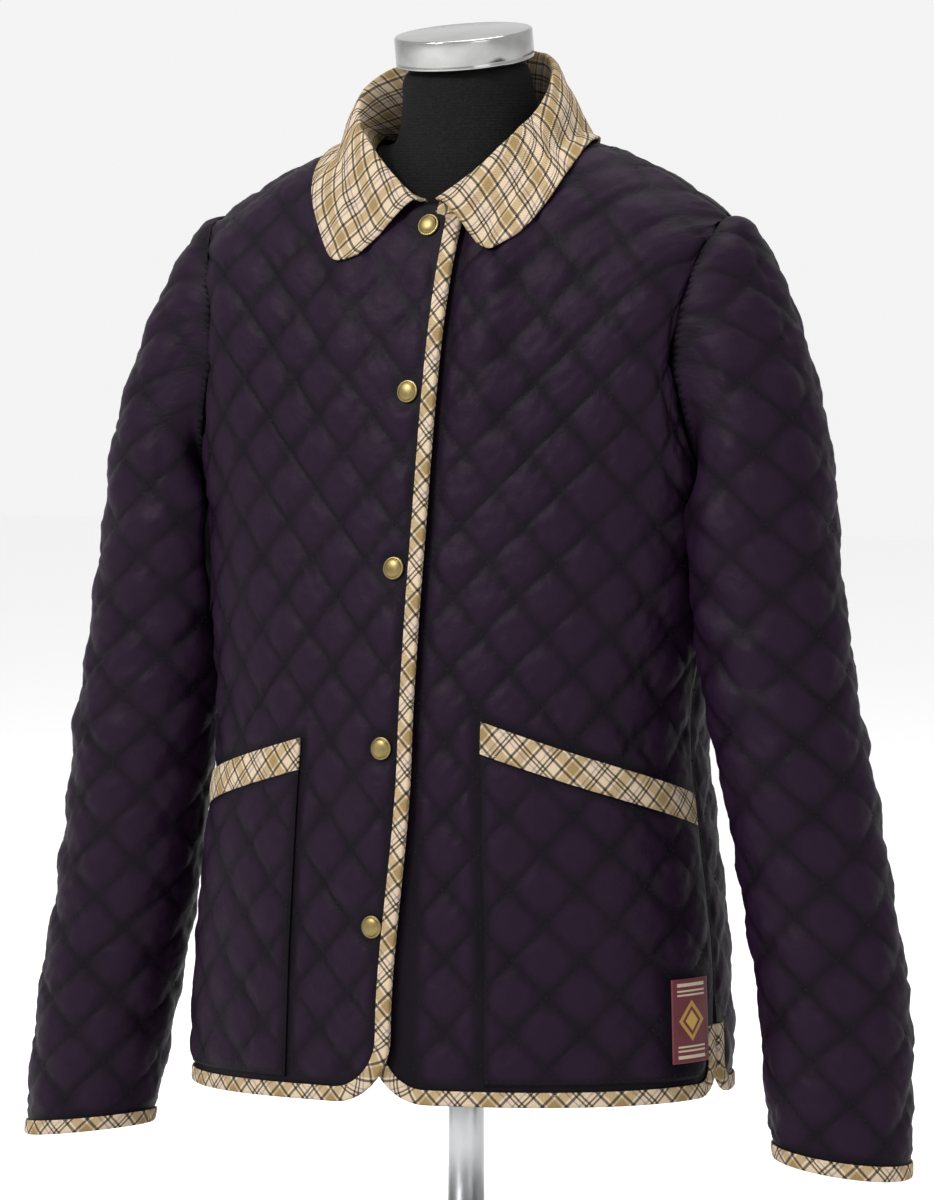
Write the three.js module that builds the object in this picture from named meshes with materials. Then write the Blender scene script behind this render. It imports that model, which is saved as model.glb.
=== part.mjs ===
// A women's diamond-quilted jacket, snapped shut over a limbless dress form on a low stand.
// Millimetres, +Z up, floor at z = 0. The front of the jacket faces -Y and the wearer's left is +X.
import * as THREE from "three";
import { mergeVertices } from "three/addons/utils/BufferGeometryUtils.js";

// Body rings of the jacket's inner face: half width, depth in front of and behind the axis.
const BODY = [
  { z: 90, half: 187, front: 133, back: 96 },
  { z: 117, half: 186, front: 132, back: 96 },
  { z: 170, half: 184, front: 130, back: 96 },
  { z: 220, half: 181, front: 128, back: 96 },
  { z: 300, half: 172, front: 125, back: 90 },
  { z: 360, half: 167, front: 121, back: 85 },
  { z: 412, half: 172, front: 115, back: 88 },
  { z: 470, half: 180, front: 107, back: 95 },
  { z: 520, half: 184, front: 96, back: 100 },
];
const RING_POWER = 2.35;
const RING_TOP_Z = 470;
const HEM_Z = 118;
const HEM_TILT = 0.018;
const QUARTER = 252;

// Neckline and armhole, where the columns of the front and back end.
const NECK_SIDE = new THREE.Vector3(72, 6, 745);
const NECK_FRONT = new THREE.Vector3(0, -53, 700);
const NECK_BACK = new THREE.Vector3(0, 60, 736);
const ARMHOLE = { x: 165, y: 2, z: 598, rise: 94, front: 52, back: 45, out: 22, under: 20 };
const NECK_SHARE = 0.27;
const SHOULDER_SHARE = 0.7;
const ARM_STEPS = [15, 30, 60, 90, 120, 150, 165, 180];

// Cloth and quilting.
const CELL = 23.5;
const CLOTH = 2;
const PUFF = 2.6;
const SEAM = 0.6;

// Front edge, corners and side vents.
const LAP = 21.5;
const LAP_LIFT = 6;
const LAP_AWAY = 13.5;
const TOP_CORNER = 18;
const FRONT_CORNER = 42;
const VENT_CORNER = 20;
const VENT_HEIGHT = 47;
const VENT_INSET = 3;

// Patch pockets and the bands along their tops, on the panels' own measures.
const POCKET = { inner: 75, outer: 246, foot: 12.5, band: 21 };
const POCKET_TOP = { left: { inner: 249, outer: 198 }, right: { inner: 235, outer: 195 } };
const PATCH_CLOTH = 1.6;
const LABEL = { p: 219, q: 51, wide: 34, tall: 55, thick: 0.8 };

// Sleeve rings of the inner face, from the cuff to the biceps: centre, the two half widths and how much
// further out the left one swings.
const SLEEVE = [
  { z: 82, x: 281, y: -29, wide: 43, deep: 36, swing: 2 },
  { z: 140, x: 272, y: -26, wide: 46, deep: 39, swing: 6 },
  { z: 193, x: 262, y: -24, wide: 47, deep: 40, swing: 12 },
  { z: 241, x: 252, y: -24, wide: 47, deep: 40, swing: 13 },
  { z: 311, x: 241, y: -26, wide: 47, deep: 41, swing: 12 },
  { z: 376, x: 231, y: -25, wide: 48, deep: 42, swing: 7 },
  { z: 455, x: 220, y: -20, wide: 48, deep: 44, swing: 3 },
  { z: 500, x: 214, y: -14, wide: 50, deep: 48, swing: 0 },
];
const SLEEVE_DROP = 11;
const SLEEVE_ROUND = 12 * CELL;
const SLEEVE_CLEAR = 11;
const CUFF_TILT = 0.14;

// Edge binding.
const BIND_WIDE = 8.5;
const BIND_THICK = 0.9;
const BIND_GAP = 0.55;

// Collar: fold and outer edge from the front to the middle of the back.
const COLLAR = [
  { s: 0, foldX: 7, foldY: -67, foldZ: 706, edgeX: 41, edgeY: -74, edgeZ: 677 },
  { s: 0.06, foldX: 12, foldY: -64, foldZ: 710, edgeX: 50, edgeY: -73, edgeZ: 672 },
  { s: 0.13, foldX: 19, foldY: -60, foldZ: 716, edgeX: 58, edgeY: -71, edgeZ: 675 },
  { s: 0.25, foldX: 32, foldY: -52, foldZ: 728, edgeX: 70, edgeY: -62, edgeZ: 685 },
  { s: 0.38, foldX: 48, foldY: -41, foldZ: 746, edgeX: 82, edgeY: -42, edgeZ: 702 },
  { s: 0.5, foldX: 60, foldY: -25, foldZ: 766, edgeX: 88, edgeY: -16, edgeZ: 724 },
  { s: 0.62, foldX: 60, foldY: -2, foldZ: 786, edgeX: 84, edgeY: 16, edgeZ: 739 },
  { s: 0.75, foldX: 45, foldY: 24, foldZ: 799, edgeX: 66, edgeY: 50, edgeZ: 739 },
  { s: 0.88, foldX: 24, foldY: 39, foldZ: 805, edgeX: 38, edgeY: 75, edgeZ: 733 },
  { s: 1, foldX: 0, foldY: 44, foldZ: 807, edgeX: 0, edgeY: 85, edgeZ: 730 },
];
const COLLAR_CLOTH = 2;
const COLLAR_RIGHT = { fold: 1.22, edge: 1.13, drop: 9 };
const COLLAR_CLEAR = 6.4;

// Snaps on the centre line.
const SNAPS = [{ p: 4.8, q: 114 }, { p: 0.5, q: 230 }, { p: -1.5, q: 347 }, { p: -1.5, q: 463 }, { p: -1.5, q: 574 }];
const SNAP_RADIUS = 7.5;

// Dress form: how far it lies inside the jacket at each height, and the rings of its neck.
const FORM_GAP = [
  { z: 118, gap: 20 },
  { z: 220, gap: 19 },
  { z: 300, gap: 21 },
  { z: 372, gap: 25 },
  { z: 440, gap: 17 },
  { z: 500, gap: 9 },
  { z: 560, gap: 6 },
  { z: 630, gap: 4 },
  { z: 680, gap: 1.6 },
  { z: 712, gap: 0.4 },
  { z: 760, gap: 0.4 },
];
const FORM_FOOT = 34;
const NECK = [
  { z: 757, half: 50, deep: 46, y: -3 },
  { z: 776, half: 46, deep: 44, y: -7 },
  { z: 796, half: 45, deep: 45, y: -11 },
];
const NECK_TILT = 10;
const CAP_RADIUS = 46;
const CAP_HEIGHT = 20;
const POLE_RADIUS = 12;
const BASE_RADIUS = 150;
const BASE_HEIGHT = 9;
const POLE_HEIGHT = HEM_Z + FORM_FOOT - BASE_HEIGHT - 0.6;

const clamp = THREE.MathUtils.clamp;
const smooth = THREE.MathUtils.smoothstep;
const lerp = THREE.MathUtils.lerp;
const rad = THREE.MathUtils.degToRad;
const vec = (x, y, z) => new THREE.Vector3(x, y, z);
const power = (v, e) => Math.sign(v) * Math.abs(v) ** e;

// Smooth value of a table's column, by a cubic through its rows.
function column(table, key, at, value) {
  let i = 1;
  while (i < table.length - 1 && table[i][at] < value) i++;
  const a = table[i - 1], b = table[i];
  const before = table[Math.max(0, i - 2)], after = table[Math.min(table.length - 1, i + 1)];
  const step = b[at] - a[at];
  const t = (value - a[at]) / step;
  const slopeA = (b[key] - before[key]) / (b[at] - before[at]) * step;
  const slopeB = (after[key] - a[key]) / (after[at] - a[at]) * step;
  if (t < 0) return a[key] + slopeA * t;
  if (t > 1) return b[key] + slopeB * (t - 1);
  const t2 = t * t, t3 = t2 * t;
  return a[key] * (2 * t3 - 3 * t2 + 1) + slopeA * (t3 - 2 * t2 + t)
    + b[key] * (3 * t2 - 2 * t3) + slopeB * (t3 - t2);
}

function hermite(a, ta, b, tb, t) {
  const t2 = t * t, t3 = t2 * t;
  return vec(0, 0, 0)
    .addScaledVector(a, 2 * t3 - 3 * t2 + 1)
    .addScaledVector(ta, t3 - 2 * t2 + t)
    .addScaledVector(b, 3 * t2 - 2 * t3)
    .addScaledVector(tb, t3 - t2);
}

// One quarter of a body ring with its length so far; side is -1 for the front and 1 for the back.
const ringCache = new Map();
function quarterRing(z, side) {
  const key = z.toFixed(3) + side;
  if (ringCache.has(key)) return ringCache.get(key);
  const half = column(BODY, "half", "z", z);
  const front = column(BODY, "front", "z", z), back = column(BODY, "back", "z", z);
  const depth = (front + back) / 2, middle = (back - front) / 2;
  const steps = 90, raw = [], length = [0];
  for (let i = 0; i <= steps; i++) {
    const a = (i / steps) * Math.PI / 2;
    raw.push([half * power(Math.sin(a), 2 / RING_POWER), middle + side * depth * power(Math.cos(a), 2 / RING_POWER)]);
    if (i) length.push(length[i - 1] + Math.hypot(raw[i][0] - raw[i - 1][0], raw[i][1] - raw[i - 1][1]));
  }
  const ring = { raw, length };
  ringCache.set(key, ring);
  return ring;
}

// A point on a body ring at a share of the quarter from the centre line; a negative share is past it.
function ringPoint(z, share, side) {
  const { raw, length } = quarterRing(z, side);
  const want = Math.min(Math.abs(share), 1) * length[length.length - 1];
  let i = 1;
  while (i < length.length - 1 && length[i] < want) i++;
  const t = (want - length[i - 1]) / (length[i] - length[i - 1]);
  return vec(Math.sign(share || 1) * lerp(raw[i - 1][0], raw[i][0], t), lerp(raw[i - 1][1], raw[i][1], t), z);
}

// The half width of the jacket's inner face at a depth and height.
function bodyHalfWidth(y, z) {
  const front = column(BODY, "front", "z", z), back = column(BODY, "back", "z", z);
  const across = Math.abs(y - (back - front) / 2) / ((front + back) / 2);
  return across >= 1 ? 0 : column(BODY, "half", "z", z) * (1 - across ** RING_POWER) ** (1 / RING_POWER);
}

// The armhole, an upright oval; the angle runs from its top towards the front (side -1) or the back (side 1).
function armholePoint(angle, side) {
  const c = Math.cos(angle), s = Math.sin(angle);
  const lean = c > 0 ? ARMHOLE.out * c ** 1.6 : ARMHOLE.under * (-c) ** 0.95;
  const reach = side < 0 ? ARMHOLE.front : ARMHOLE.back;
  return vec(ARMHOLE.x + lean, ARMHOLE.y + side * reach * s ** 0.9, ARMHOLE.z + ARMHOLE.rise * c);
}

// Where a column of the front or back ends at the top, and its direction there.
function columnEnd(share, side) {
  const overShoulder = vec(0.08, -side, 0.12);
  if (share <= NECK_SHARE) {
    const middle = side < 0 ? NECK_FRONT : NECK_BACK;
    const t = share / NECK_SHARE;
    const round = 1 - Math.sqrt(1 - t * t);
    const end = vec(NECK_SIDE.x * t, lerp(middle.y, NECK_SIDE.y, round), lerp(middle.z, NECK_SIDE.z, round ** 0.9));
    const rise = side < 0 ? vec(0, 0.4, 0.9) : vec(0, -0.55, 0.85);
    return { end, heading: rise.lerp(overShoulder, t * t).normalize() };
  }
  const tip = armholePoint(0, side), overTip = vec(0.3, -side, 0.05);
  const t = (share - NECK_SHARE) / (SHOULDER_SHARE - NECK_SHARE);
  const end = NECK_SIDE.clone().lerp(tip, t);
  end.z += 8 * Math.sin(Math.PI * t);
  return { end, heading: overShoulder.lerp(overTip, t).normalize() };
}

// The armhole's edge at a height; below it, the side seam's way up to it from the rings.
function armholeEdge(z, side) {
  const foot = ARMHOLE.z - ARMHOLE.rise;
  if (z >= foot) return armholePoint(Math.acos(clamp((z - ARMHOLE.z) / ARMHOLE.rise, -1, 1)), side);
  return ringPoint(RING_TOP_Z, 1, side).lerp(armholePoint(Math.PI, side), (z - RING_TOP_Z) / (foot - RING_TOP_Z));
}

// The upper part of a column beside the armhole: it moves over from the shoulder tip's column to the edge.
function besideArmhole(share, side, steps) {
  const { points: tip } = bodyColumn(SHOULDER_SHARE, side);
  const start = (share - SHOULDER_SHARE) / (1 - SHOULDER_SHARE);
  const low = ringPoint(RING_TOP_Z, SHOULDER_SHARE, side), high = ringPoint(RING_TOP_Z, 1, side);
  const endZ = armholePoint(Math.PI * start, side).z, points = [];
  for (let i = 0; i <= steps; i++) {
    const z = lerp(RING_TOP_Z, endZ, i / steps);
    const across = start + (1 - start) * (i / steps) ** 2;
    let k = 1;
    while (k < tip.length - 1 && tip[k].z < z) k++;
    const from = tip[k - 1].clone().lerp(tip[k], clamp((z - tip[k - 1].z) / (tip[k].z - tip[k - 1].z), 0, 1));
    const edge = armholeEdge(z, side);
    const round = ringPoint(RING_TOP_Z, lerp(SHOULDER_SHARE, 1, across), side).sub(low.clone().lerp(high, across));
    const size = from.distanceTo(edge) / low.distanceTo(high);
    points.push(from.lerp(edge, across).addScaledVector(round, size).setZ(z));
  }
  return points;
}

// A column of the front or back as points from the hem to the top, with their length so far.
const columnCache = new Map();
function bodyColumn(share, side) {
  const key = share.toFixed(6) + side;
  if (columnCache.has(key)) return columnCache.get(key);
  const steps = 30, points = [];
  for (let i = 0; i < steps; i++) points.push(ringPoint(lerp(HEM_Z - 20, RING_TOP_Z, i / steps), share, side));
  const hand = share < 0 ? -1 : 1;
  if (Math.abs(share) > SHOULDER_SHARE + 1e-6)
    for (const v of besideArmhole(Math.abs(share), side, steps)) points.push(v.setX(v.x * hand));
  else {
    const from = ringPoint(RING_TOP_Z, share, side);
    const leave = from.clone().sub(ringPoint(RING_TOP_Z - 6, share, side)).normalize();
    const { end, heading } = columnEnd(Math.abs(share), side);
    end.x *= hand, heading.x *= hand;
    const span = from.distanceTo(end);
    leave.multiplyScalar(span * 1.05), heading.multiplyScalar(span * (0.9 + 0.25 * smooth(Math.abs(share), 0.45, 0.7)));
    for (let i = 0; i <= steps; i++) points.push(hermite(from, leave, end, heading, i / steps));
  }
  const length = [-20];
  for (let i = 1; i < points.length; i++) length.push(length[i - 1] + points[i].distanceTo(points[i - 1]));
  const made = { points, length, top: length[length.length - 1] };
  columnCache.set(key, made);
  return made;
}

const bodyTop = (p, side) => bodyColumn(clamp(p / QUARTER, -1, 1), side).top;

// The inner face of the front or back: p across from the centre line, q up from the hem.
function bodyPoint(p, q, side) {
  const { points, length } = bodyColumn(clamp(p / QUARTER, -1, 1), side);
  let i = 1;
  while (i < points.length - 1 && length[i] < q) i++;
  const t = Math.min((q - length[i - 1]) / (length[i] - length[i - 1]), 1);
  return points[i - 1].clone().lerp(points[i], t);
}

// A cloth surface: its inner face and the outward normal at a place.
function surface(at, turn) {
  const step = 2;
  const normal = (p, q) => {
    const across = at(p + step, q).sub(at(p - step, q));
    const up = at(p, q + step).sub(at(p, q - step));
    return across.cross(up).multiplyScalar(turn).normalize();
  };
  return { at, normal, off: (p, q, height) => at(p, q).addScaledVector(normal(p, q), height) };
}

// A front or back panel's face; the right front is lifted over the left one at the lap.
function bodySurface(side, mirror, lift) {
  const turn = side < 0 ? 1 : -1;
  const plain = surface((p, q) => bodyPoint(p, q, side), turn);
  const under = (p, q) => Math.min(q, bodyTop(p, side) - 3);
  const at = (p, q) => {
    const place = plain.at(p, q);
    const raised = lift * (1 - smooth(p, -4, 62));
    if (raised > 0) place.addScaledVector(plain.normal(p, under(p, q)), raised);
    place.x *= mirror;
    place.z += HEM_TILT * place.x * (1 - smooth(q, 0, 480));
    return place;
  };
  const reaches = (p, q) => bodyTop(p, side) > q + 1;
  const normal = (p, q) => {
    let level = under(p, q);
    let a = p + 4, b = p - 4;
    for (let tries = 0; tries < 8; tries++, level -= 6) {
      a = reaches(p + 4, level) ? p + 4 : p;
      b = reaches(p - 4, level) ? p - 4 : p;
      if (a !== b) break;
    }
    const across = at(a, level).sub(at(b, level));
    const up = at(p, level + 2).sub(at(p, level - 2));
    return across.cross(up).multiplyScalar(turn * mirror).normalize();
  };
  return { at, normal, off: (p, q, height) => at(p, q).addScaledVector(normal(p, q), height) };
}

// Height of the quilting: nothing on the stitched diagonals and most in the middle of a diamond.
function quilt(p, q) {
  const wave = (v) => Math.abs(Math.sin((Math.PI * v) / (2 * CELL)));
  return (wave(p + q) * wave(p - q)) ** 0.7;
}

// How far up a front the pocket band's upper edge lies.
const bandTop = (p, side) => lerp(POCKET_TOP[side].inner, POCKET_TOP[side].outer,
  (p - POCKET.inner) / (POCKET.outer - POCKET.inner));

// Merges equal points, drops the faces that this closes up and turns the solid to face outwards.
function solidGeometry(points, faces) {
  const raw = new THREE.BufferGeometry();
  raw.setAttribute("position", new THREE.Float32BufferAttribute(points.flatMap((v) => [v.x, v.y, v.z]), 3));
  raw.setIndex(faces.flat());
  const merged = mergeVertices(raw, 0.01);
  const index = merged.index.array, place = merged.attributes.position;
  const kept = [], a = vec(0, 0, 0), b = vec(0, 0, 0), c = vec(0, 0, 0);
  let volume = 0;
  for (let i = 0; i < index.length; i += 3) {
    const [x, y, z] = [index[i], index[i + 1], index[i + 2]];
    if (x === y || y === z || z === x) continue;
    kept.push(x, y, z);
    a.fromBufferAttribute(place, x), b.fromBufferAttribute(place, y), c.fromBufferAttribute(place, z);
    volume += a.dot(b.cross(c)) / 6;
  }
  if (volume < 0)
    for (let i = 0; i < kept.length; i += 3) [kept[i + 1], kept[i + 2]] = [kept[i + 2], kept[i + 1]];
  merged.setIndex(kept);
  return merged;
}

// A closed wall between two grids of points, which may be shut round into a tube; the plain inner layer
// leaves out rows that it doesn't need.
function wallGeometry(inner, outer, height, round, spare = () => false) {
  const rows = inner.length, cols = inner[0].length, faces = [];
  const points = [...inner.flat(), ...outer.flat()];
  const id = (layer, j, i) => (layer * rows + j) * cols + (round && i === cols - 1 ? 0 : i);
  const quad = (a, b, c, d) => faces.push([a, b, c], [a, c, d]);
  const kept = inner.map((_, j) => j).filter((j) => !j || j === rows - 1 || !spare(j));
  for (let j = 0; j < rows - 1; j++)
    for (let i = 0; i < cols - 1; i++) {
      const slant = height[j][i] + height[j + 1][i + 1] > height[j][i + 1] + height[j + 1][i];
      const ring = [id(1, j, i), id(1, j, i + 1), id(1, j + 1, i + 1), id(1, j + 1, i)];
      if (slant) ring.push(ring.shift());
      quad(...ring);
    }
  for (let k = 0; k < kept.length - 1; k++)
    for (let i = 0; i < cols - 1; i++)
      quad(id(0, kept[k], i), id(0, kept[k + 1], i), id(0, kept[k + 1], i + 1), id(0, kept[k], i + 1));
  for (let i = 0; i < cols - 1; i++) {
    quad(id(0, 0, i), id(0, 0, i + 1), id(1, 0, i + 1), id(1, 0, i));
    quad(id(0, rows - 1, i + 1), id(0, rows - 1, i), id(1, rows - 1, i), id(1, rows - 1, i + 1));
  }
  for (let k = 0; k < kept.length - 1 && !round; k++) {
    const [j, next, last] = [kept[k], kept[k + 1], cols - 1];
    faces.push([id(0, next, 0), id(0, j, 0), id(1, j, 0)], [id(0, j, last), id(0, next, last), id(1, j, last)]);
    for (let m = j; m < next; m++) {
      faces.push([id(0, next, 0), id(1, m, 0), id(1, m + 1, 0)]);
      faces.push([id(0, next, last), id(1, m + 1, last), id(1, m, last)]);
    }
  }
  return solidGeometry(points, faces);
}

// A sheet of cloth over a face: grid gives each row's places, height its relief, base the inner face's lift.
function sheetGeometry(face, grid, relief, base, thick, round, spare) {
  const inner = grid.map((row) => row.map(([p, q]) => face.off(p, q, base)));
  const height = grid.map((row) => row.map(([p, q]) => relief(p, q)));
  const outer = grid.map((row, j) => row.map(([p, q], i) => face.off(p, q, base + thick + height[j][i])));
  return wallGeometry(inner, outer, height, round, spare);
}
const lowerHalf = (j) => j > 1 && j < 17 && j % 2 === 0;

// A U-shaped binding round a sheet's edge: places run along the edge and the cloth lies to their left.
function bindingGeometry(face, places, closed, base = 0, thick = CLOTH) {
  const g = BIND_GAP, t = BIND_THICK, top = base + thick, low = base;
  const section = [
    [BIND_WIDE, low - g - t], [-g - t, low - g - t], [-g - t, top + g + t], [BIND_WIDE, top + g + t],
    [BIND_WIDE, top + g], [-g, top + g], [-g, low - g], [BIND_WIDE, low - g],
  ];
  const count = places.length, size = section.length, points = [], faces = [];
  places.forEach(([p, q], k) => {
    const here = new THREE.Vector2(p, q);
    const back = here.clone().sub(new THREE.Vector2(...places[Math.max(0, k - 1)])).normalize();
    const ahead = new THREE.Vector2(...places[Math.min(count - 1, k + 1)]).sub(here).normalize();
    const way = closed ? new THREE.Vector2(1, 0) : back.clone().add(ahead).normalize();
    const wider = closed ? 1 : 1 / Math.max(way.dot(k ? back : ahead), 0.8);
    for (const [w, h] of section) points.push(face.off(p - way.y * w * wider, q + way.x * w * wider, h));
  });
  const id = (k, i) => (k % count) * size + (i % size);
  for (let k = 0; k < (closed ? count : count - 1); k++)
    for (let i = 0; i < size; i++) {
      faces.push([id(k, i), id(k + 1, i), id(k + 1, i + 1)], [id(k, i), id(k + 1, i + 1), id(k, i + 1)]);
    }
  if (!closed)
    for (const [a, b, c, d] of [[0, 1, 6, 7], [1, 2, 5, 6], [2, 3, 4, 5]]) {
      faces.push([a, b, c], [a, c, d]);
      const e = (count - 1) * size;
      faces.push([e + a, e + c, e + b], [e + a, e + d, e + c]);
    }
  return solidGeometry(points, faces);
}

// The arc that rounds a corner: how far the edge draws back at a distance from the corner's side.
const drawBack = (radius, d) => (d >= radius ? 0 : radius - Math.sqrt(radius ** 2 - (radius - Math.max(d, 0)) ** 2));

// Columns shared by the fronts and the back: place at the armhole and the place it joins lower down.
const ARM_COLUMNS = ARM_STEPS.map((a) => QUARTER * (SHOULDER_SHARE + (1 - SHOULDER_SHARE) * (a / 180)));
const ARM_LOW = [188, 188, 211.5, 211.5, 235, 241, 246, QUARTER];
const SIDE_COLUMNS = [
  { high: CELL, low: CELL }, { high: 2 * CELL, low: 2 * CELL }, { high: NECK_SHARE * QUARTER, low: 3 * CELL },
  ...[4, 5, 6, 7].map((i) => ({ high: i * CELL, low: i * CELL })),
  { high: QUARTER * SHOULDER_SHARE, low: 188 },
  ...ARM_COLUMNS.map((high, i) => ({ high, low: ARM_LOW[i] })),
];
const CENTRE_COLUMNS = [0, 3.5, 11, LAP].map((off) => ({ high: off - LAP, low: off - LAP, off }));

// The front edge draws back from the lap on its way down to the rounded corner.
const frontEdgeAt = (q) => -LAP + LAP_AWAY * (1 - smooth(q, 50, 230));

const sideEdge = (q) => QUARTER - SEAM / 2 - VENT_INSET * (1 - smooth(q, VENT_HEIGHT, VENT_HEIGHT + CELL));
const columnAt = (col, q) => {
  if (col.off !== undefined) return frontEdgeAt(q) + col.off;
  const p = lerp(col.low, col.high, smooth(q, 270, 350));
  return Math.sign(p) * Math.min(Math.abs(p), sideEdge(q));
};
const hemRise = (p, isFront) => drawBack(VENT_CORNER, sideEdge(0) - Math.abs(p))
  + (isFront ? drawBack(FRONT_CORNER, p - frontEdgeAt(0)) : 0);

// How far up the flat strip under the binding reaches.
const flatTop = (p, isFront) => BIND_WIDE + 2.5 + drawBack(VENT_CORNER - 11, sideEdge(0) - 11 - Math.abs(p))
  + (isFront ? drawBack(FRONT_CORNER - 11, p - frontEdgeAt(0) - 11) : 0);

// The grid of a panel: rows up from the hem, each held between the panel's lower and upper edges.
function panelGrid(columns, side) {
  const isFront = side < 0, rows = [];
  const last = Math.ceil(bodyTop(NECK_SHARE * QUARTER, side) / CELL);
  for (let j = -1; j <= last; j++) {
    rows.push(columns.map((col) => {
      const rough = j < 0 ? 0 : j === 0 ? BIND_WIDE + 2.5 : j * CELL;
      const foot = hemRise(columnAt(col, 0), isFront);
      const low = j < 0 ? foot : Math.max(foot, Math.min(flatTop(columnAt(col, 0), isFront), 47));
      const top = bodyTop(col.high, side) - SEAM / 2 - (isFront ? drawBack(TOP_CORNER, col.high + LAP) : 0);
      const q = clamp(rough, low, top);
      return [columnAt(col, q), q];
    }));
  }
  return rows;
}

// True where the collar lies over the cloth, with a margin.
function underCollar(place) {
  return place.z > 650 && Math.hypot(place.x, place.y) < 106;
}

// Relief of a front: flat at its bound edges, under pocket, lap and collar, and round the snaps.
function frontRelief(side) {
  return (p, q) => {
    if (p > POCKET.inner - CELL - 2 && q < bandTop(p, side) + CELL + 2) return 0;
    if (side === "left" && p < LAP + CELL) return 0;
    if (q < flatTop(p, true) + 0.5 || p < Math.max(2, frontEdgeAt(q) + 12) || underCollar(bodyPoint(p, q, -1))) return 0;
    if (p < CELL + 1 && SNAPS.some((snap) => Math.abs(snap.q - q) < CELL)) return 0;
    const top = bodyTop(p, -1) - q;
    return PUFF * quilt(p, q) * smooth(top, 0, 14) * smooth(sideEdge(q) - p, 0, 7);
  };
}
const backRelief = (p, q) => (q < flatTop(p, false) + 0.5 || (q < 60 && Math.abs(p) > sideEdge(q) - 14) || underCollar(bodyPoint(p, q, 1)) ? 0
  : PUFF * quilt(p, q) * smooth(bodyTop(p, 1) - q, 0, 14) * smooth(sideEdge(q) - Math.abs(p), 0, 7));

// The body's outward normal at the armhole, on the wearer's left.
function armNormal(angle) {
  const share = SHOULDER_SHARE + ((1 - SHOULDER_SHARE) * Math.abs(angle)) / Math.PI, side = angle > 0 ? -1 : 1;
  return bodySurface(side, 1, 0).normal(QUARTER * share, bodyTop(QUARTER * share, side));
}

// The sleeve's inner face: p round it from the outer line towards the front, q up from the cuff.
const sleeveCache = new Map();
function sleeveColumn(angle, hand) {
  const key = angle.toFixed(5) + hand;
  if (sleeveCache.has(key)) return sleeveCache.get(key);
  const ring = (z) => {
    const cx = column(SLEEVE, "x", "z", z) + (hand > 0 ? column(SLEEVE, "swing", "z", z) : 0);
    const cy = column(SLEEVE, "y", "z", z);
    const wide = column(SLEEVE, "wide", "z", z), deep = column(SLEEVE, "deep", "z", z);
    const place = vec(cx + wide * Math.cos(angle), cy - deep * Math.sin(angle), z);
    const drop = clamp((z - SLEEVE[0].z) / 120, 0, 1);
    place.z += (1 - drop) * (CUFF_TILT * (cx - place.x) - (hand < 0 ? SLEEVE_DROP : 0));
    place.x = Math.max(place.x, bodyHalfWidth(place.y, z) + SLEEVE_CLEAR);
    return place;
  };
  const points = [], low = SLEEVE[0].z, high = SLEEVE[SLEEVE.length - 1].z;
  for (let i = 0; i <= 44; i++) points.push(ring(lerp(low - 12, high, i / 44)));
  const from = ring(high), off = Math.abs(angle), side = angle > 0 ? -1 : 1;
  const turned = smooth(off, rad(50), rad(150));
  const end = armholePoint(off, side);
  const radial = vec(0, side * Math.sin(off), Math.cos(off));
  const heading = vec(1, 0, 0).addScaledVector(radial, -0.2 * turned).normalize();
  const apart = lerp(0.9, CLOTH + 2.6, smooth(off, rad(30), rad(130)));
  end.addScaledVector(armNormal(angle), apart).addScaledVector(heading, 1.6);
  const leave = vec(0, 0, lerp(190, 16, turned)), arrive = heading.multiplyScalar(-lerp(72, 36, turned));
  for (let i = 1; i <= 30; i++) points.push(hermite(from, leave, end, arrive, i / 30));
  const length = [-12];
  for (let i = 1; i < points.length; i++) length.push(length[i - 1] + points[i].distanceTo(points[i - 1]));
  const made = { points, length, top: length[length.length - 1] };
  sleeveCache.set(key, made);
  return made;
}

function sleeveSurface(mirror) {
  const turnOf = (p) => {
    let a = (p / SLEEVE_ROUND) * 2 * Math.PI;
    if (a > Math.PI) a -= 2 * Math.PI;
    if (a < -Math.PI) a += 2 * Math.PI;
    return a;
  };
  const top = (p) => sleeveColumn(turnOf(p), mirror).top;
  const at = (p, q) => {
    const { points, length } = sleeveColumn(turnOf(p), mirror);
    let i = 1;
    while (i < points.length - 1 && length[i] < q) i++;
    const t = Math.min((q - length[i - 1]) / (length[i] - length[i - 1]), 1);
    const place = points[i - 1].clone().lerp(points[i], t);
    place.x *= mirror;
    return place;
  };
  const made = surface(at, -mirror);
  const level = (p, q) => Math.min(q, Math.min(top(p), top(p - 2), top(p + 2)) - 3);
  const normal = (p, q) => {
    const own = made.normal(p, level(p, q));
    const angle = turnOf(p), turned = smooth(Math.abs(angle), rad(50), rad(150));
    const share = smooth(q, top(p) - 8, top(p)) * (1 - turned);
    return share > 0 ? own.lerp(armNormal(angle).multiply(vec(mirror, 1, 1)), share).normalize() : own;
  };
  return { at, normal, off: (p, q, height) => at(p, q).addScaledVector(normal(p, q), height), top };
}

const SLEEVE_ANGLES = [-180, -165, -150, -120, -90, -60, -30, -15, 0, 15, 30, 60, 90, 120, 150, 165, 180];
function sleeveGrid(face) {
  const rows = [], ps = SLEEVE_ANGLES.map((a) => (a / 360) * SLEEVE_ROUND);
  const last = Math.ceil(face.top(0) / CELL);
  for (let j = -1; j <= last; j++) {
    const rough = j < 0 ? 0 : j === 0 ? BIND_WIDE + 1.5 : j * CELL;
    rows.push(ps.map((p) => [p, Math.min(rough, face.top(p))]));
  }
  return rows;
}
const underarm = (p) => Math.abs(p) > SLEEVE_ROUND * 0.2;
const sleeveRelief = (face) => (p, q) => (q < 12 || (underarm(p) && q > face.top(p) - 70) ? 0 : PUFF * quilt(p, q) * smooth(face.top(p) - q, 0, 14));

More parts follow.
